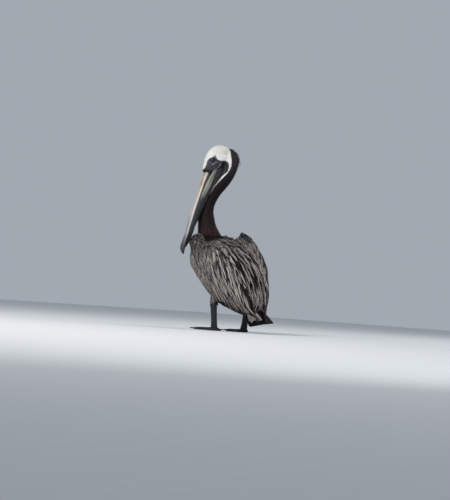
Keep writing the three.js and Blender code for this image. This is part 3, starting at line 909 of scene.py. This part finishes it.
def grown(
    name, hide, where, gap, length, width, rise, material, slot=BODY_SLOT, *,
    rows=4, stray=9, curl=3, climb=0.75, free=None, point=0.8, full=0.6,
    shade=1, mottle=0.3, herd=None, gather=0.4, wave=(0, 1), contrast=0, gaps=0,
):
    """A coat piece. Its sizes are each one number or one for each corner of the skin.

    Feathers of a herd gather into one lock, which waves and is darker at its rims. Feathers
    that run off the skin are left out, unless free says how much their steps shrink there.
    """
    root, tri, share = hide.roots(np.where(where, gap, 0))
    count = len(root)

    def at_root(value):
        return hide.number(value, tri, share)

    def varied(amount):
        return 1 + amount * (luck.random(count) - 0.5)

    reach = at_root(length) * MM * varied(0.36)
    breadth = at_root(width) * MM * varied(0.3)
    height = at_root(rise) * MM * varied(0.5)
    normal = unit(hide.read(hide.normals, tri, share))
    way = unit(hide.read(hide.flow, tri, share))
    side = unit(np.cross(way, normal))
    lead, rim = np.arange(count), np.zeros(count)
    contrast = at_root(contrast)
    if herd is not None:
        herd = at_root(herd) * MM
        leaders = thinned(root, herd)
        tree = planted(root[leaders])
        lead = leaders[[tree.find(p)[1] for p in root]]
        across = np.abs(((root - root[lead]) * side[lead]).sum(1)) / (herd / 2)
        rim = ease(across, 0.35, 0.85)
        height = height * (1 + contrast * (0.3 - 0.8 * rim)) * varied(0.5)[lead]
    angle = np.radians(stray) * luck.normal(size=count)
    way = way * np.cos(angle)[:, None] + np.cross(normal, way) * np.sin(angle)[:, None]
    bend = np.radians(curl) * luck.normal(size=count)
    path, ups, loose = laid(
        hide, root, normal, way, reach, height, bend, rows, climb, free or 0.5
    )
    along_it = np.linspace(0, 1, rows + 1)
    if herd is not None:
        path = path + (path[lead] - path) * (gather * along_it**1.3)[None, :, None]
        swing, wave = wave
        wave = wave * (0.7 + 0.9 * luck.random(count)[lead])
        turn = along_it[None] * (reach / MM * 2 * math.pi / wave)[:, None]
        turn = turn + (luck.random(count)[lead] * 2 * math.pi)[:, None]
        swing = swing * 1.8 * luck.random(count)[lead]
        sway = (np.sin(turn) - np.sin(turn[:, :1])) * swing[:, None] * MM
        path = path + side[lead][:, None] * sway[..., None]
    outline = np.maximum(np.sin(np.pi * (0.06 + 0.94 * along_it**point)) ** full, 0.05)
    half = breadth[:, None] / 2 * outline[None]
    broad = unit(hide.read(hide.broad, tri, share))
    tint, _ = markings(root + normal * 2 * MM, broad, hide.kind[hide.tris[tri, 0]])
    chance = luck.random(count)
    chance = chance * 0.45 + chance[lead] * 0.55
    light = at_root(shade) * (1 + mottle * 1.35 * (chance - 0.5))
    light = light * (1 + contrast * (0.2 - 1.15 * rim))
    kept = ~loose | (free is not None)
    if gaps:
        dark = np.maximum(gap_at(path[:, -1]), gap_at(path[:, rows * 2 // 3]))
        kept &= dark * gaps < luck.random(count)
    uv = (hide.unwrap[tri] * share[..., None]).sum(1)
    tint = (tint * light[:, None])[kept]
    vanes(name, path[kept], ups[kept], half[kept], FLAT_BEND, uv[kept], tint, material, slot, 3)


def make_coat(hide, silver_plume):
    """All the coat pieces, from the head's down to the long feathers of the wings."""
    kind = hide.kind
    _, forward, high = on_bird(hide.places)
    reach, _ = from_shoulder(hide.places)
    up = hide.normals[:, 2]
    shaggy = shagginess(hide.places, kind)
    head = in_head(hide.places)
    capped = inside(head[:, :2], CAP)
    on_wing = np.isin(kind, WINGS)
    collar = in_collar(hide.places, kind) > 0.5
    on_body = np.isin(kind, BODY) & ~collar
    above = np.isin(kind, (HEAD, *NECK))
    covered = above & (inside(head[:, :2], FACE) < 0.4)
    back = np.maximum(on_wing * 1.0, ease(up, 0.05, 0.5))
    inner = on_wing & (hide.normals[:, 0] * np.sign(hide.places[:, 0]) < 0.1)
    far_wing = kind == FAR_WING

    down = down_finish("white_down", 0.88, strand=0.25)
    velvet = down_finish("neck_velvet", 0.45, 0.75, 0.03)
    where = covered & (capped > -1)
    grown(
        "coat_head", hide, where, 1.45, 6.5, 1.35, 2.1, down, "head_feathers",
        rows=2, stray=7, mottle=0.08,
    )
    size = 7 + 6 * ease(-high, -420, -300)
    rise = np.where(high > 400, 2.0, 3.6 + 1.6 * collar)
    where = (covered & (capped < 1)) | collar
    grown(
        "coat_neck", hide, where, 0.24 * size, size, size * 0.22, rise, velvet, "neck_feathers",
        rows=2, stray=8,
    )
    where = above & (capped < -2) & (high > 583)
    where = where & (head[:, 0] < -38) & (np.abs(head[:, 2]) < 15)
    grown(
        "coat_crest", hide, where, 3.8, 24, 1.6, 9.0, velvet, "neck_feathers",
        stray=16, curl=6, climb=1.5,
    )

    shadow_plume = feather_finish(
        "shadow_plume", DARK_EDGE, 0.9, 0.3, stem=0.0, patchy=0.8, gloss=0.03
    )
    belly_plume = feather_finish("belly_plume", TAUPE_EDGE, 0.72, 0.6, patchy=0.4)
    mantle_plume = feather_finish("mantle_plume", TAUPE_EDGE, 0.62, 0.5)
    tertial_plume = feather_finish("tertial_plume", DARK_EDGE, 0.6, 0.5, tip=0.6)
    lining_plume = feather_finish("lining_plume", TAUPE_EDGE, 0.82, 0.25, patchy=0.3, stem=0.2)

    # A dark layer of painted shadow lies under the coat of the trunk and wings and shows between
    # its feathers, darkest where the coat is shaggy.
    grown(
        "coat_shadow_layer", hide, on_body, 9.0, 30, 11.0, 2.6, shadow_plume,
        stray=10, shade=0.34 - 0.3 * shaggy,
    )
    grown(
        "coat_breast", hide, on_body & (back < 0.6), 4.2, 19, 4.8, 3.6, belly_plume,
        stray=12, curl=10, herd=9.5, gather=0.3, wave=(0.8, 13), contrast=0.1 + 0.4 * shaggy,
    )
    where = on_body & (back >= 0.35) & ((reach < 175) | (forward > 2)) & ~inner
    size = 15 + 20 * ease(reach, 40, 150)
    rise = (
        4.6
        + 3.4 * (kind == TRUNK) * ease(up, 0.5, 0.8) * ease(forward, -30, 10)
        + 2.2 * (kind == NEAR_WING) * ease(forward, 58, 76) * ease(high, 280, 298)
    )
    grown(
        "coat_mantle", hide, where, size * 0.2, size, size * 0.19, rise, mantle_plume,
        rows=6, stray=10, curl=6, mottle=0.45, herd=6 + 6.5 * ease(reach, 30, 130), gather=0.45,
        wave=(0.9, 17), contrast=0.3 + 0.7 * shaggy, gaps=0.9,
    )
    where = on_body & (back >= 0.4) & (reach > 100) & ~inner & (forward < 10)
    size = 46 + 30 * ease(reach, 110, 220)
    grown(
        "coat_scapulars", hide, where, 8.2, size, 6.6, np.where(far_wing, 4.5, 6.6), silver_plume,
        rows=12, stray=8, point=1.0, full=0.7, mottle=0.5, herd=15.5, gather=0.5,
        wave=(1.2, 36), contrast=np.where(far_wing, 0.3, 0.95), gaps=1.0,
    )
    size = 22 + 30 * ease(reach, 60, 180)
    grown(
        "coat_inner_wings", hide, inner, size * 0.24, size, size * 0.27, 4.6, lining_plume,
        rows=6, stray=5, mottle=0.14,
    )
    where = on_wing & (reach > 185) & ~inner
    grown(
        "coat_tertials", hide, where, 10, 86, 7.5, np.where(far_wing, 4.5, 7.0), tertial_plume,
        rows=13, stray=6, curl=2, mottle=0.5, herd=15,
        wave=(1.3, 42), contrast=np.where(far_wing, 0.3, 0.9), gaps=0.9,
    )
    where = (kind == TRUNK) & (high < 100) & (up < 0.4) & (forward < -30)
    size = 40 + 22 * ease(-high, -90, -62)
    grown(
        "coat_vent", hide, where, 6.0, size, 6.5, 4.5 + 3 * ease(-high, -80, -60), belly_plume,
        rows=5, stray=13, curl=6, climb=1.2, free=0.95, mottle=0.7,
        herd=13, gather=0.3, contrast=0.6,
    )
    grown(
        "coat_thighs", hide, np.isin(kind, THIGHS), 3.4, 23, 4.0, 3.8, belly_plume,
        stray=8, free=0.55, mottle=0.6,
    )


# ---------------------------------------------------------------- bill and pouch

HEAD_FRAME = Matrix.Translation(BROW) @ Matrix(
    [(-HEAD_LEFT[i], AHEAD[i], OVER[i]) for i in range(3)]
).to_4x4()

EVEN_RINGS = 26  # along each part of the bill

# Outlines across the bill, from the middle of the top round to the middle of the bottom.
UPPER_OUTLINE = [
    (0.0, 1.0), (0.15, 0.98), (0.23, 0.86), (0.32, 0.66), (0.44, 0.7), (0.66, 0.62),
    (0.87, 0.36), (0.98, -0.02), (1.0, -0.4), (0.95, -0.74), (0.84, -0.76), (0.74, -0.42),
    (0.4, -0.34), (0.0, -0.34),
]
LOWER_OUTLINE = [
    (0.0, 0.5), (0.5, 0.55), (0.8, 0.86), (0.93, 0.9), (1.0, 0.62), (1.0, 0.1), (0.97, -0.5),
    (0.86, -0.92), (0.74, -0.9), (0.5, -0.5), (0.0, -0.4),
]


def drawn(name, outline, stations, closer):
    """A ring of an outline, extruded from station to station along the bill.

    A station is how far ahead of the brow it is, how far over it, half its width, half
    its height and how far it turns down. There are more rings at the closer places.
    """
    sizes = np.array(stations, float)
    even = np.linspace(sizes[0, 0], sizes[-1, 0], EVEN_RINGS)
    ways = np.unique(np.concatenate([even, closer]))
    rows = np.stack([ways] + [np.interp(ways, sizes[:, 0], sizes[:, i]) for i in (1, 2, 3, 4)], 1)
    half = np.array(outline)
    ring = np.concatenate([half, half[-2:0:-1] * (-1, 1)])
    share = np.arange(len(half)) / (len(half) - 1)
    bpy.ops.object.select_all(action="DESELECT")
    bpy.ops.mesh.primitive_circle_add(vertices=len(ring), radius=MM, fill_type="NGON")
    piece = bpy.context.object
    piece.name = name
    ahead, over, wide, tall, _ = rows[0]
    corners = np.stack([ring[:, 0] * wide, np.full(len(ring), ahead), over + ring[:, 1] * tall], 1)
    put(piece.data, corners * MM)
    tell(piece.data, "round", np.concatenate([share, share[-2:0:-1]]))
    edit(piece)
    bpy.ops.mesh.select_mode(type="FACE")
    for last, now in zip(rows[:-1], rows[1:]):
        move = (0, (now[0] - last[0]) * MM, (now[1] - last[1]) * MM)
        bpy.ops.mesh.extrude_region_move(TRANSFORM_OT_translate={"value": move})
        centre = (0, now[0] * MM, now[1] * MM)
        scale = (now[2] / last[2], 1, now[3] / last[3])
        bpy.ops.transform.resize(value=scale, center_override=centre)
        if now[4] != last[4]:
            turn = math.radians(now[4] - last[4])
            bpy.ops.transform.rotate(value=turn, orient_axis="X", center_override=centre)
    bpy.ops.mesh.select_all(action="SELECT")
    bpy.ops.mesh.normals_make_consistent(inside=False)
    edit_done()
    piece.matrix_world = HEAD_FRAME
    bpy.ops.object.transform_apply(location=True, rotation=True, scale=True)
    finished("SUBSURF", piece, levels=2, render_levels=2)
    return piece


def bill_place(f):
    """Where a point is ahead of the brow, over it and to the side, as three wires."""
    centred = f.wire("VectorMath", {0: f.place(), 1: tuple(BROW)}, operation="SUBTRACT")
    parts = []
    for axis in HEAD_AXES:
        values = {0: centred, 1: tuple(axis)}
        parts.append(f.wire("VectorMath", values, "Value", operation="DOT_PRODUCT") * 1000.0)
    return parts


def horn_finish(name, stops, bands, grey_from, scratch, end_colour):
    """Horn that changes along the bill and round it, with long grain, scuffs and a darker tip.

    A stop is a place ahead of the brow and the colour from there on. A band runs along the
    bill: its place round the outline, its spread, its shade and how far it leans at the base.
    """
    f = Finish(name)
    ahead, over, left = bill_place(f)
    grain = f.noise(f.vector(ahead * 0.012, over * 0.5, left * 0.35), 1.6, 4.0, 0.6)
    fine = f.noise(f.vector(ahead * 0.05, over * 1.5, left * 1.5), 2.2, 3.0)
    blotch = f.noise(f.vector(ahead * 0.05, over * 0.14, left * 0.14), 1.3, 3.0)
    colour = paint(stops[0][1])
    for (start, _), (end, code) in zip(stops[:-1], stops[1:]):
        colour = f.mix(f.step(ahead + (blotch - 0.5) * 26.0, start, end), colour, paint(code))
    colour = f.mix(f.step(grain, 0.45, 0.72) * 0.55, colour, f.times(colour, scratch))
    colour = f.mix(f.step(fine, 0.5, 0.8) * 0.4, colour, f.times(colour, (0.6, 0.58, 0.55)))
    for middle, spread, shade, lean in bands:
        moved = f.step(ahead, 20, 120, lean, 0.0)
        away = f.maths("ABSOLUTE", f.attribute("round") + (fine - 0.5) * 0.03 - moved - middle)
        colour = f.mix(1.0 - f.step(away, spread * 0.4, spread), colour, f.times(colour, shade))
    ending = f.step(ahead + (grain - 0.5) * 30.0, grey_from, grey_from + 30.0)
    return f.surface(
        {
            "Base Color": f.mix(ending * 0.85, colour, paint(end_colour)),
            "Roughness": f.step(fine, 0.3, 0.8, 0.36, 0.58),
            "Normal": f.bump(grain + fine * 0.5, 0.0006, 0.5),
            "Coat Weight": 0.12,
            "Coat Roughness": 0.3,
        }
    )


UPPER_STATIONS = [
    (-10, -13, 17.6, 11.6, 0), (0, -12, 17.4, 10.8, 0), (30, -9, 16.3, 9.2, 0),
    (90, -6, 12.8, 8, 0), (125, -4.3, 12, 8.5, 0), (155, -3.2, 11.6, 9, 0),
    (182, -3, 11.4, 8.1, 0), (206, -3, 11.5, 7.1, 0), (230, -2.5, 11.7, 7.2, 0),
    (246, -2, 11.2, 8, 0), (258, -1.6, 10.2, 8.6, 3), (267, -2.6, 8.8, 8.8, 14),
    (274, -5.2, 6.8, 7.6, 32), (279, -9.2, 4, 5.2, 56), (281, -12.4, 1.4, 2, 74),
]
LOWER_STATIONS = [
    (-34, -40, 14.5, 5, 0), (-20, -37, 17, 6.8, 0), (0, -32.2, 18.6, 8.8, 0),
    (34, -26.6, 17.4, 10.4, 0), (60, -22.2, 15.6, 9.4, 0), (90, -17.5, 13.2, 7.2, 0),
    (150, -14, 10.8, 7, 0), (182, -14.6, 10.3, 8.4, 0), (206, -14.4, 10, 8.4, 0),
    (232, -12.8, 9.2, 6.8, 0), (252, -11, 7, 4.4, 0), (262, -10, 3.6, 2.4, 0),
]


def make_bill():
    hook = (252, 258, 262, 267, 270, 274, 276.5, 279, 280)
    upper = drawn("upper_bill", UPPER_OUTLINE, UPPER_STATIONS, hook)
    horn = horn_finish(
        "bill_horn",
        [
            (-4, "a29e97"), (16, "b4aea5"), (34, "ada098"), (60, "bdb6ab"), (120, "bdbab4"),
            (205, "a0a0a3"), (246, "55555d"),
        ],
        [
            (0.0, 0.1, (0.85, 0.83, 0.8), 0),
            (0.23, 0.09, (0.36, 0.32, 0.3), 0),
            (0.33, 0.05, (1.3, 1.3, 1.28), 0),
            (0.41, 0.035, (0.6, 0.56, 0.52), 0),
            (0.48, 0.1, (1.35, 1.35, 1.32), 0),
            # painted shadow of the gap between the bills, over the upper bill's own dark cutting
            # edge
            (0.63, 0.09, 0.1, -0.015),
            (0.86, 0.16, 0.2, 0),
        ],
        240.0,
        (0.66, 0.6, 0.56),
        "31313a",
    )
    shown(upper, horn, "bill_horn", "bill_upper")
    lower = drawn("lower_bill", LOWER_OUTLINE, LOWER_STATIONS, (240, 248, 252, 258))
    horn = horn_finish(
        "mandible_horn",
        [
            (-30, "6a6870"), (4, "85847b"), (40, "98968a"), (70, "86857b"), (92, "34363d"),
            (200, "24262c"),
        ],
        [
            (0.16, 0.1, 0.3, 0),
            (0.52, 0.06, (0.75, 0.75, 0.76), 0),
            (0.42, 0.06, (1.2, 1.2, 1.18), 0),
            (0.75, 0.09, (0.16, 0.16, 0.17), 0),
        ],
        170.0,
        (0.7, 0.7, 0.68),
        "26262c",
    )
    shown(lower, horn, "mandible_horn", "bill_lower")


def pouch_finish():
    f = Finish("pouch_skin")
    ahead, over, left = bill_place(f)
    lines = f.noise(f.vector(ahead * 0.03, over * 0.7, left * 0.5), 1.8, 4.0, 0.6)
    pores = f.cells(f.place(), 900.0, "SMOOTH_F1")
    bloom = f.noise(f.place(), 60.0, 3.0)
    shade = f.mix(f.step(bloom, 0.35, 0.7), paint("141518"), paint("212327"))
    shade = f.mix(f.step(lines, 0.52, 0.7) * 0.6, shade, paint("34373b"))
    shade = f.mix(1.0 - f.step(ahead, -30, 45), shade, f.times(shade, (0.4, 0.42, 0.45)))
    return f.surface(
        {
            "Base Color": shade,
            "Roughness": f.step(lines, 0.3, 0.8, 0.42, 0.62),
            "Normal": f.bump(lines + pores * 0.4, 0.0012, 0.6),
            "Specular IOR Level": 0.45,
        }
    )


def make_pouch():
    """The slack throat pouch, gathered in long shallow pleats, with its upper part drawn up."""
    piece = fused(copied("throat_pouch", ["pouch"]), voxel=1.1, rounds=8)
    mesh = piece.data
    places = places_of(mesh)
    ahead, over, _ = in_head(places).T
    fold = over + 0.16 * ahead + 1.2 * np.sin(ahead / 17)
    pleat = np.sin(fold * 1.5) + 0.5 * np.sin(fold * 2.9 + ahead / 21)
    depth = (0.28 * pleat - 0.25) * (ease(ahead, -40, 0) * ease(-ahead, -225, -150))
    low = np.interp(ahead, *np.array(POUCH_HEM, float).T) + 1.0
    rise = np.maximum(low - over, 0) * 0.85 * ease(ahead, -60, -30)
    put(mesh, places + normals_of(mesh) * depth[:, None] * MM + OVER[None] * rise[:, None] * MM)
    shown(piece, pouch_finish(), "pouch_skin", "pouch")


# ---------------------------------------------------------------- eyes


def eye_finish():
    """A dark brown iris round a black pupil, under a clear wet cornea."""
    f = Finish("eye")
    way = f.attribute("ring")
    rays = f.noise(f.vector(f.attribute("turn") * 9.0, way * 0.6, 0.0), 3.0, 3.0)
    iris = f.mix(f.step(rays, 0.35, 0.7), paint("140d0a"), paint("251911"))
    iris = f.mix(f.step(way, 3.9, 5.0), iris, paint("0e0a09"))
    return f.surface(
        {
            "Base Color": f.mix(1.0 - f.step(way, 2.3, 2.7), iris, paint("050505")),
            "Roughness": 0.3,
            "Coat Weight": 0.45,
            "Coat Roughness": 0.05,
            "Specular IOR Level": 0.3,
        }
    )


def make_eyes():
    material = eye_finish()
    for side, name in ((1, "left"), (-1, "right")):
        bpy.ops.object.select_all(action="DESELECT")
        bpy.ops.mesh.primitive_uv_sphere_add(segments=48, ring_count=32, radius=EYE_RADIUS * MM)
        piece = bpy.context.object
        piece.name = "eyeball_" + name
        ball = places_of(piece.data) / MM
        ring = np.hypot(ball[:, 0], ball[:, 1])
        front = ball[:, 2] > 0
        ball[:, 2] += np.where(front, 0.55 * (1 - ease(ring, 2.5, 5.2)), 0)
        tell(piece.data, "ring", np.where(front, ring, 9.0))
        tell(piece.data, "turn", np.abs(np.arctan2(ball[:, 1], ball[:, 0])))
        axes = np.array((AHEAD, -OVER * side, HEAD_LEFT * side))
        if np.linalg.det(axes) < 0:
            axes[1] *= -1
        put(piece.data, ball @ axes * MM + head_spot(EYE[0], EYE[1], EYE[2] * side))
        shown(piece, material, "eye", "eye_" + name)


# ---------------------------------------------------------------- legs


def leg_finish():
    """Slate skin in small plates with darker creases between them, and paler dusty patches."""
    f = Finish("leg_skin")
    place = f.place()
    plates = f.cells(f.scaled(place, (1, 1, 0.8)), 330.0, "DISTANCE_TO_EDGE")
    small = f.cells(place, 800.0, "DISTANCE_TO_EDGE")
    dust = f.noise(place, 90.0, 4.0, 0.6)
    base = f.mix(f.step(dust, 0.3, 0.7), paint("17161c"), paint("25242c"))
    colour = f.mix((1.0 - f.step(plates, 0.0, 0.1)) * 0.6, base, paint("0e0d11"))
    height = f.step(plates, 0.0, 0.16) + f.step(small, 0.0, 0.2) * 0.3
    return f.surface(
        {
            "Base Color": f.mix(f.step(dust, 0.6, 0.85) * 0.35, colour, paint("403e48")),
            "Roughness": 0.5 + dust * 0.2,
            "Normal": f.bump(height, 0.0007, 0.7),
            "Specular IOR Level": 0.4,
        }
    )


def make_legs():
    """Shanks and webbed feet, with plates across the shins and toes and ripples in the webs."""
    material = leg_finish()
    for side in ("left", "right"):
        nodes = ["tarsus_" + side, "foot_" + side]
        piece = fused(copied("leg_" + side, nodes), voxel=1.15, rounds=4)
        places = places_of(piece.data)
        normals = normals_of(piece.data)
        x, y, z = places.T / MM
        toe_plate, shin_plate = 3.4, 4.6
        low = 1 - ease(z, 9, 16)
        top = ease(normals[:, 2], 0.2, 0.7)
        toes = ease(z, 3.6, 5.2)
        scute = -0.28 * ease(np.sin(2 * math.pi * y / toe_plate), 0.4, 1.0) * low * top * toes
        web = 0.18 * np.sin(x * 1.3 + 0.8 * np.sin(y / 9)) * top * (1 - toes)
        shin = -0.2 * ease(np.sin(2 * math.pi * z / shin_plate), 0.5, 1.0)
        shin = shin * ease(-normals[:, 1], 0.2, 0.8) * (1 - low)
        shin = shin + 1.4 * ease(z, 7, 16) * (1 - 0.6 * np.abs(normals[:, 2]))
        places = places + normals * (scute + web * low + shin)[:, None] * MM
        places[:, 2] = np.maximum(places[:, 2], 0)
        put(piece.data, places)
        shown(piece, material, "leg_skin", *nodes)


def claw_finish():
    f = Finish("claw")
    grain = f.noise(f.scaled(f.place(), (1, 0.25, 1)), 700.0, 3.0)
    return f.surface(
        {
            "Base Color": f.mix(f.step(grain, 0.35, 0.7), paint("17151a"), paint("343139")),
            "Roughness": f.step(grain, 0.3, 0.8, 0.28, 0.5),
            "Normal": f.bump(grain, 0.0003, 0.5),
            "Coat Weight": 0.2,
            "Coat Roughness": 0.25,
        }
    )


def make_claws():
    material = claw_finish()
    for side in ("left", "right"):
        nodes = ["claw_%s_%s" % (side, toe) for toe in ("outer", "middle", "inner", "hind")]
        piece = copied("claws_" + side, nodes)
        finished("SUBSURF", piece, levels=2, render_levels=2)
        shown(piece, material, "claw", *nodes)


# ---------------------------------------------------------------- flight feathers


def quill_set(name, starts, ends, up, widths, sag, tint, material, node):
    """Stiff feathers from their starts to their ends, each with its own upper side."""
    rows, count = 12, len(starts)
    share = np.sin(np.linspace(0, math.pi / 2, rows))
    path = starts[:, None] + (ends - starts)[:, None] * share[None, :, None]
    path = path - up[:, None] * sag * (4 * share * (1 - share))[None, :, None] * MM
    ups = np.repeat(up[:, None], rows, axis=1)
    outline = np.minimum(1, 0.35 + 2.2 * share) * np.sqrt(np.clip(1 - share**12, 0, 1))
    half = widths[:, None] / 2 * np.maximum(outline, 0.05)[None] * MM
    roots = np.stack([np.linspace(0, 1, count), (np.arange(count) % 3) / 3], axis=1)
    slot = "flight_feathers"
    piece = vanes(name, path, ups, half, QUILL_BEND, roots, tint, material, slot, 5)
    finished("SOLIDIFY", piece, thickness=0.0005, offset=-1)
    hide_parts(node)


def make_tail():
    """The fan of dark tail feathers, with grey coverts over its base, furthest down on the left."""
    turn = Matrix.Rotation(math.radians(-49), 3, "X") @ Matrix.Rotation(math.radians(15), 3, "Y")
    turn = np.array(turn)
    origin = spot(0, -96, 106)
    quills, coverts = 20, 30
    place = np.linspace(-1, 1, quills)
    layer = 2.6 * (1 - np.abs(place)) + 0.1 * np.sign(place)

    def droop(at):
        return 9 * (at / 51) ** 2

    root = np.stack([place * 15, np.full(quills, -6.0), layer - droop(place * 24)], axis=1)
    tip = np.stack([place * 46.5, 99 - 4 * place**2, layer - droop(place * 43) - 1.2], axis=1)
    cover = np.linspace(-0.9, 1.12, coverts)
    far = 44 + 36 * ease(cover, 0.15, 0.75) + 14 * (luck.random(coverts) - 0.5)
    high = 4.6 + 1.5 * luck.random(coverts)
    cover_root = np.stack([cover * 18, np.full(coverts, -8.0), high], axis=1)
    cover_tip = np.stack([cover * (18 + 28 * far / 101), far, high - droop(cover * 40)], axis=1)
    root, tip = np.concatenate([root, cover_root]), np.concatenate([tip, cover_tip])
    place = np.concatenate([place, cover])
    grey = COOL_TAUPE * (0.12 + 0.6 * luck.random(coverts))[:, None]
    lean = np.stack([place * 0.34, np.zeros(len(place)), np.ones(len(place))], axis=1)
    quill_set(
        "tail_feathers",
        origin + root @ turn.T * MM,
        origin + tip @ turn.T * MM,
        unit(lean) @ turn.T,
        np.repeat((17.0, 8.5), (quills, coverts)),
        1.5,
        np.concatenate([np.repeat(DARK_QUILL[None], quills, 0), grey]),
        feather_finish("dark_quill", paint("0b0a0c"), 0.75, 0.2, roughness=0.6, gloss=0.06),
        "tail",
    )


def make_primaries(material):
    """Each wing's eight outer quills, stacked so that their tips show one beside another."""
    pale = np.array([0.9, 0.45, 1.05, 0.3, 0.85, 0.25, 0.6, 0.2])
    order = range(len(pale))
    for side, name in ((1, "left"), (-1, "right")):
        slip = [i * 2.2 for i in order]
        starts = [(side * (47 - i * 0.7), -88 + slip[i] / 2, 122 - slip[i] * 1.3) for i in order]
        ends = [(side * (12 + i * 0.6), -163 + slip[i] * 1.2, 46 - slip[i] * 0.5) for i in order]
        quill_set(
            "quills_" + name,
            spots(*starts),
            spots(*ends),
            unit(np.repeat([(side * 0.9, 0.35, 0.3)], len(pale), 0)),
            9.0 + 3 * (np.arange(len(pale)) % 2),
            -3.0,
            SILVER * pale[:, None],
            material,
            "primaries_" + name,
        )


# ---------------------------------------------------------------- stage


def make_floor():
    bpy.ops.mesh.primitive_plane_add(size=14, location=(0, 0, -0.0005))
    floor = bpy.context.object
    floor.name = "floor"
    bpy.ops.object.transform_apply(location=True)
    f = Finish("studio_floor")
    colour = f.mix(f.noise(f.place(), 40.0, 4.0), paint("d4d6d8"), paint("dcdedf"))
    floor.data.materials.append(f.surface({"Base Color": colour, "Roughness": 0.9}))


def make_light(name, place, size, watts, colour=(1, 1, 1)):
    """A round lamp that shines on the middle of the bird."""
    lamp = bpy.data.lights.new(name, "AREA")
    lamp.shape = "DISK"
    lamp.size = size
    lamp.energy = watts
    lamp.color = colour
    holder = bpy.data.objects.new(name, lamp)
    bpy.context.scene.collection.objects.link(holder)
    holder.location = place
    aim = Vector((0, -0.02, 0.33))
    holder.rotation_euler = (aim - Vector(place)).to_track_quat("-Z", "Y").to_euler()


def make_stage():
    make_floor()
    world = bpy.data.worlds.new("studio")
    bpy.context.scene.world = world
    world.use_nodes = True
    sky = world.node_tree.nodes["Background"]
    sky.inputs["Color"].default_value = (0.72, 0.79, 0.88, 1)
    sky.inputs["Strength"].default_value = 0.5
    make_light("key", (3.1, 0.2, 3.0), 1.2, 105, (1.0, 0.97, 0.93))
    make_light("fill", (2.2, 3.0, 1.6), 2.4, 16)
    make_light("rim", (-2.4, 0.6, 2.6), 1.6, 30)


def make_camera():
    """A camera low behind the bird's left side, rolled a little."""
    lens = bpy.data.cameras.new("camera")
    lens.lens = 148.7
    lens.sensor_width = 36
    holder = bpy.data.objects.new("camera", lens)
    bpy.context.scene.collection.objects.link(holder)
    azimuth = math.radians(134)
    aim = Vector((0.020, -0.025, 0.274))
    distance = 7.0
    holder.location = aim + Vector((math.sin(azimuth), -math.cos(azimuth), 0)) * distance
    holder.location.z = 0.1
    look = (aim - holder.location).to_track_quat("-Z", "Y").to_matrix().to_4x4()
    roll = Matrix.Rotation(math.radians(3.97), 4, "Z")
    holder.matrix_world = Matrix.Translation(holder.location) @ look @ roll
    bpy.context.scene.camera = holder


silver_plume = feather_finish("silver_plume", DARK_EDGE, 0.58, 0.8, tip=0.5)
make_coat(Hide(*make_skin()), silver_plume)
make_bill()
make_pouch()
make_eyes()
make_legs()
make_claws()
make_tail()
make_primaries(silver_plume)
make_stage()
make_camera()
bpy.context.scene.view_settings.view_transform = "Standard"
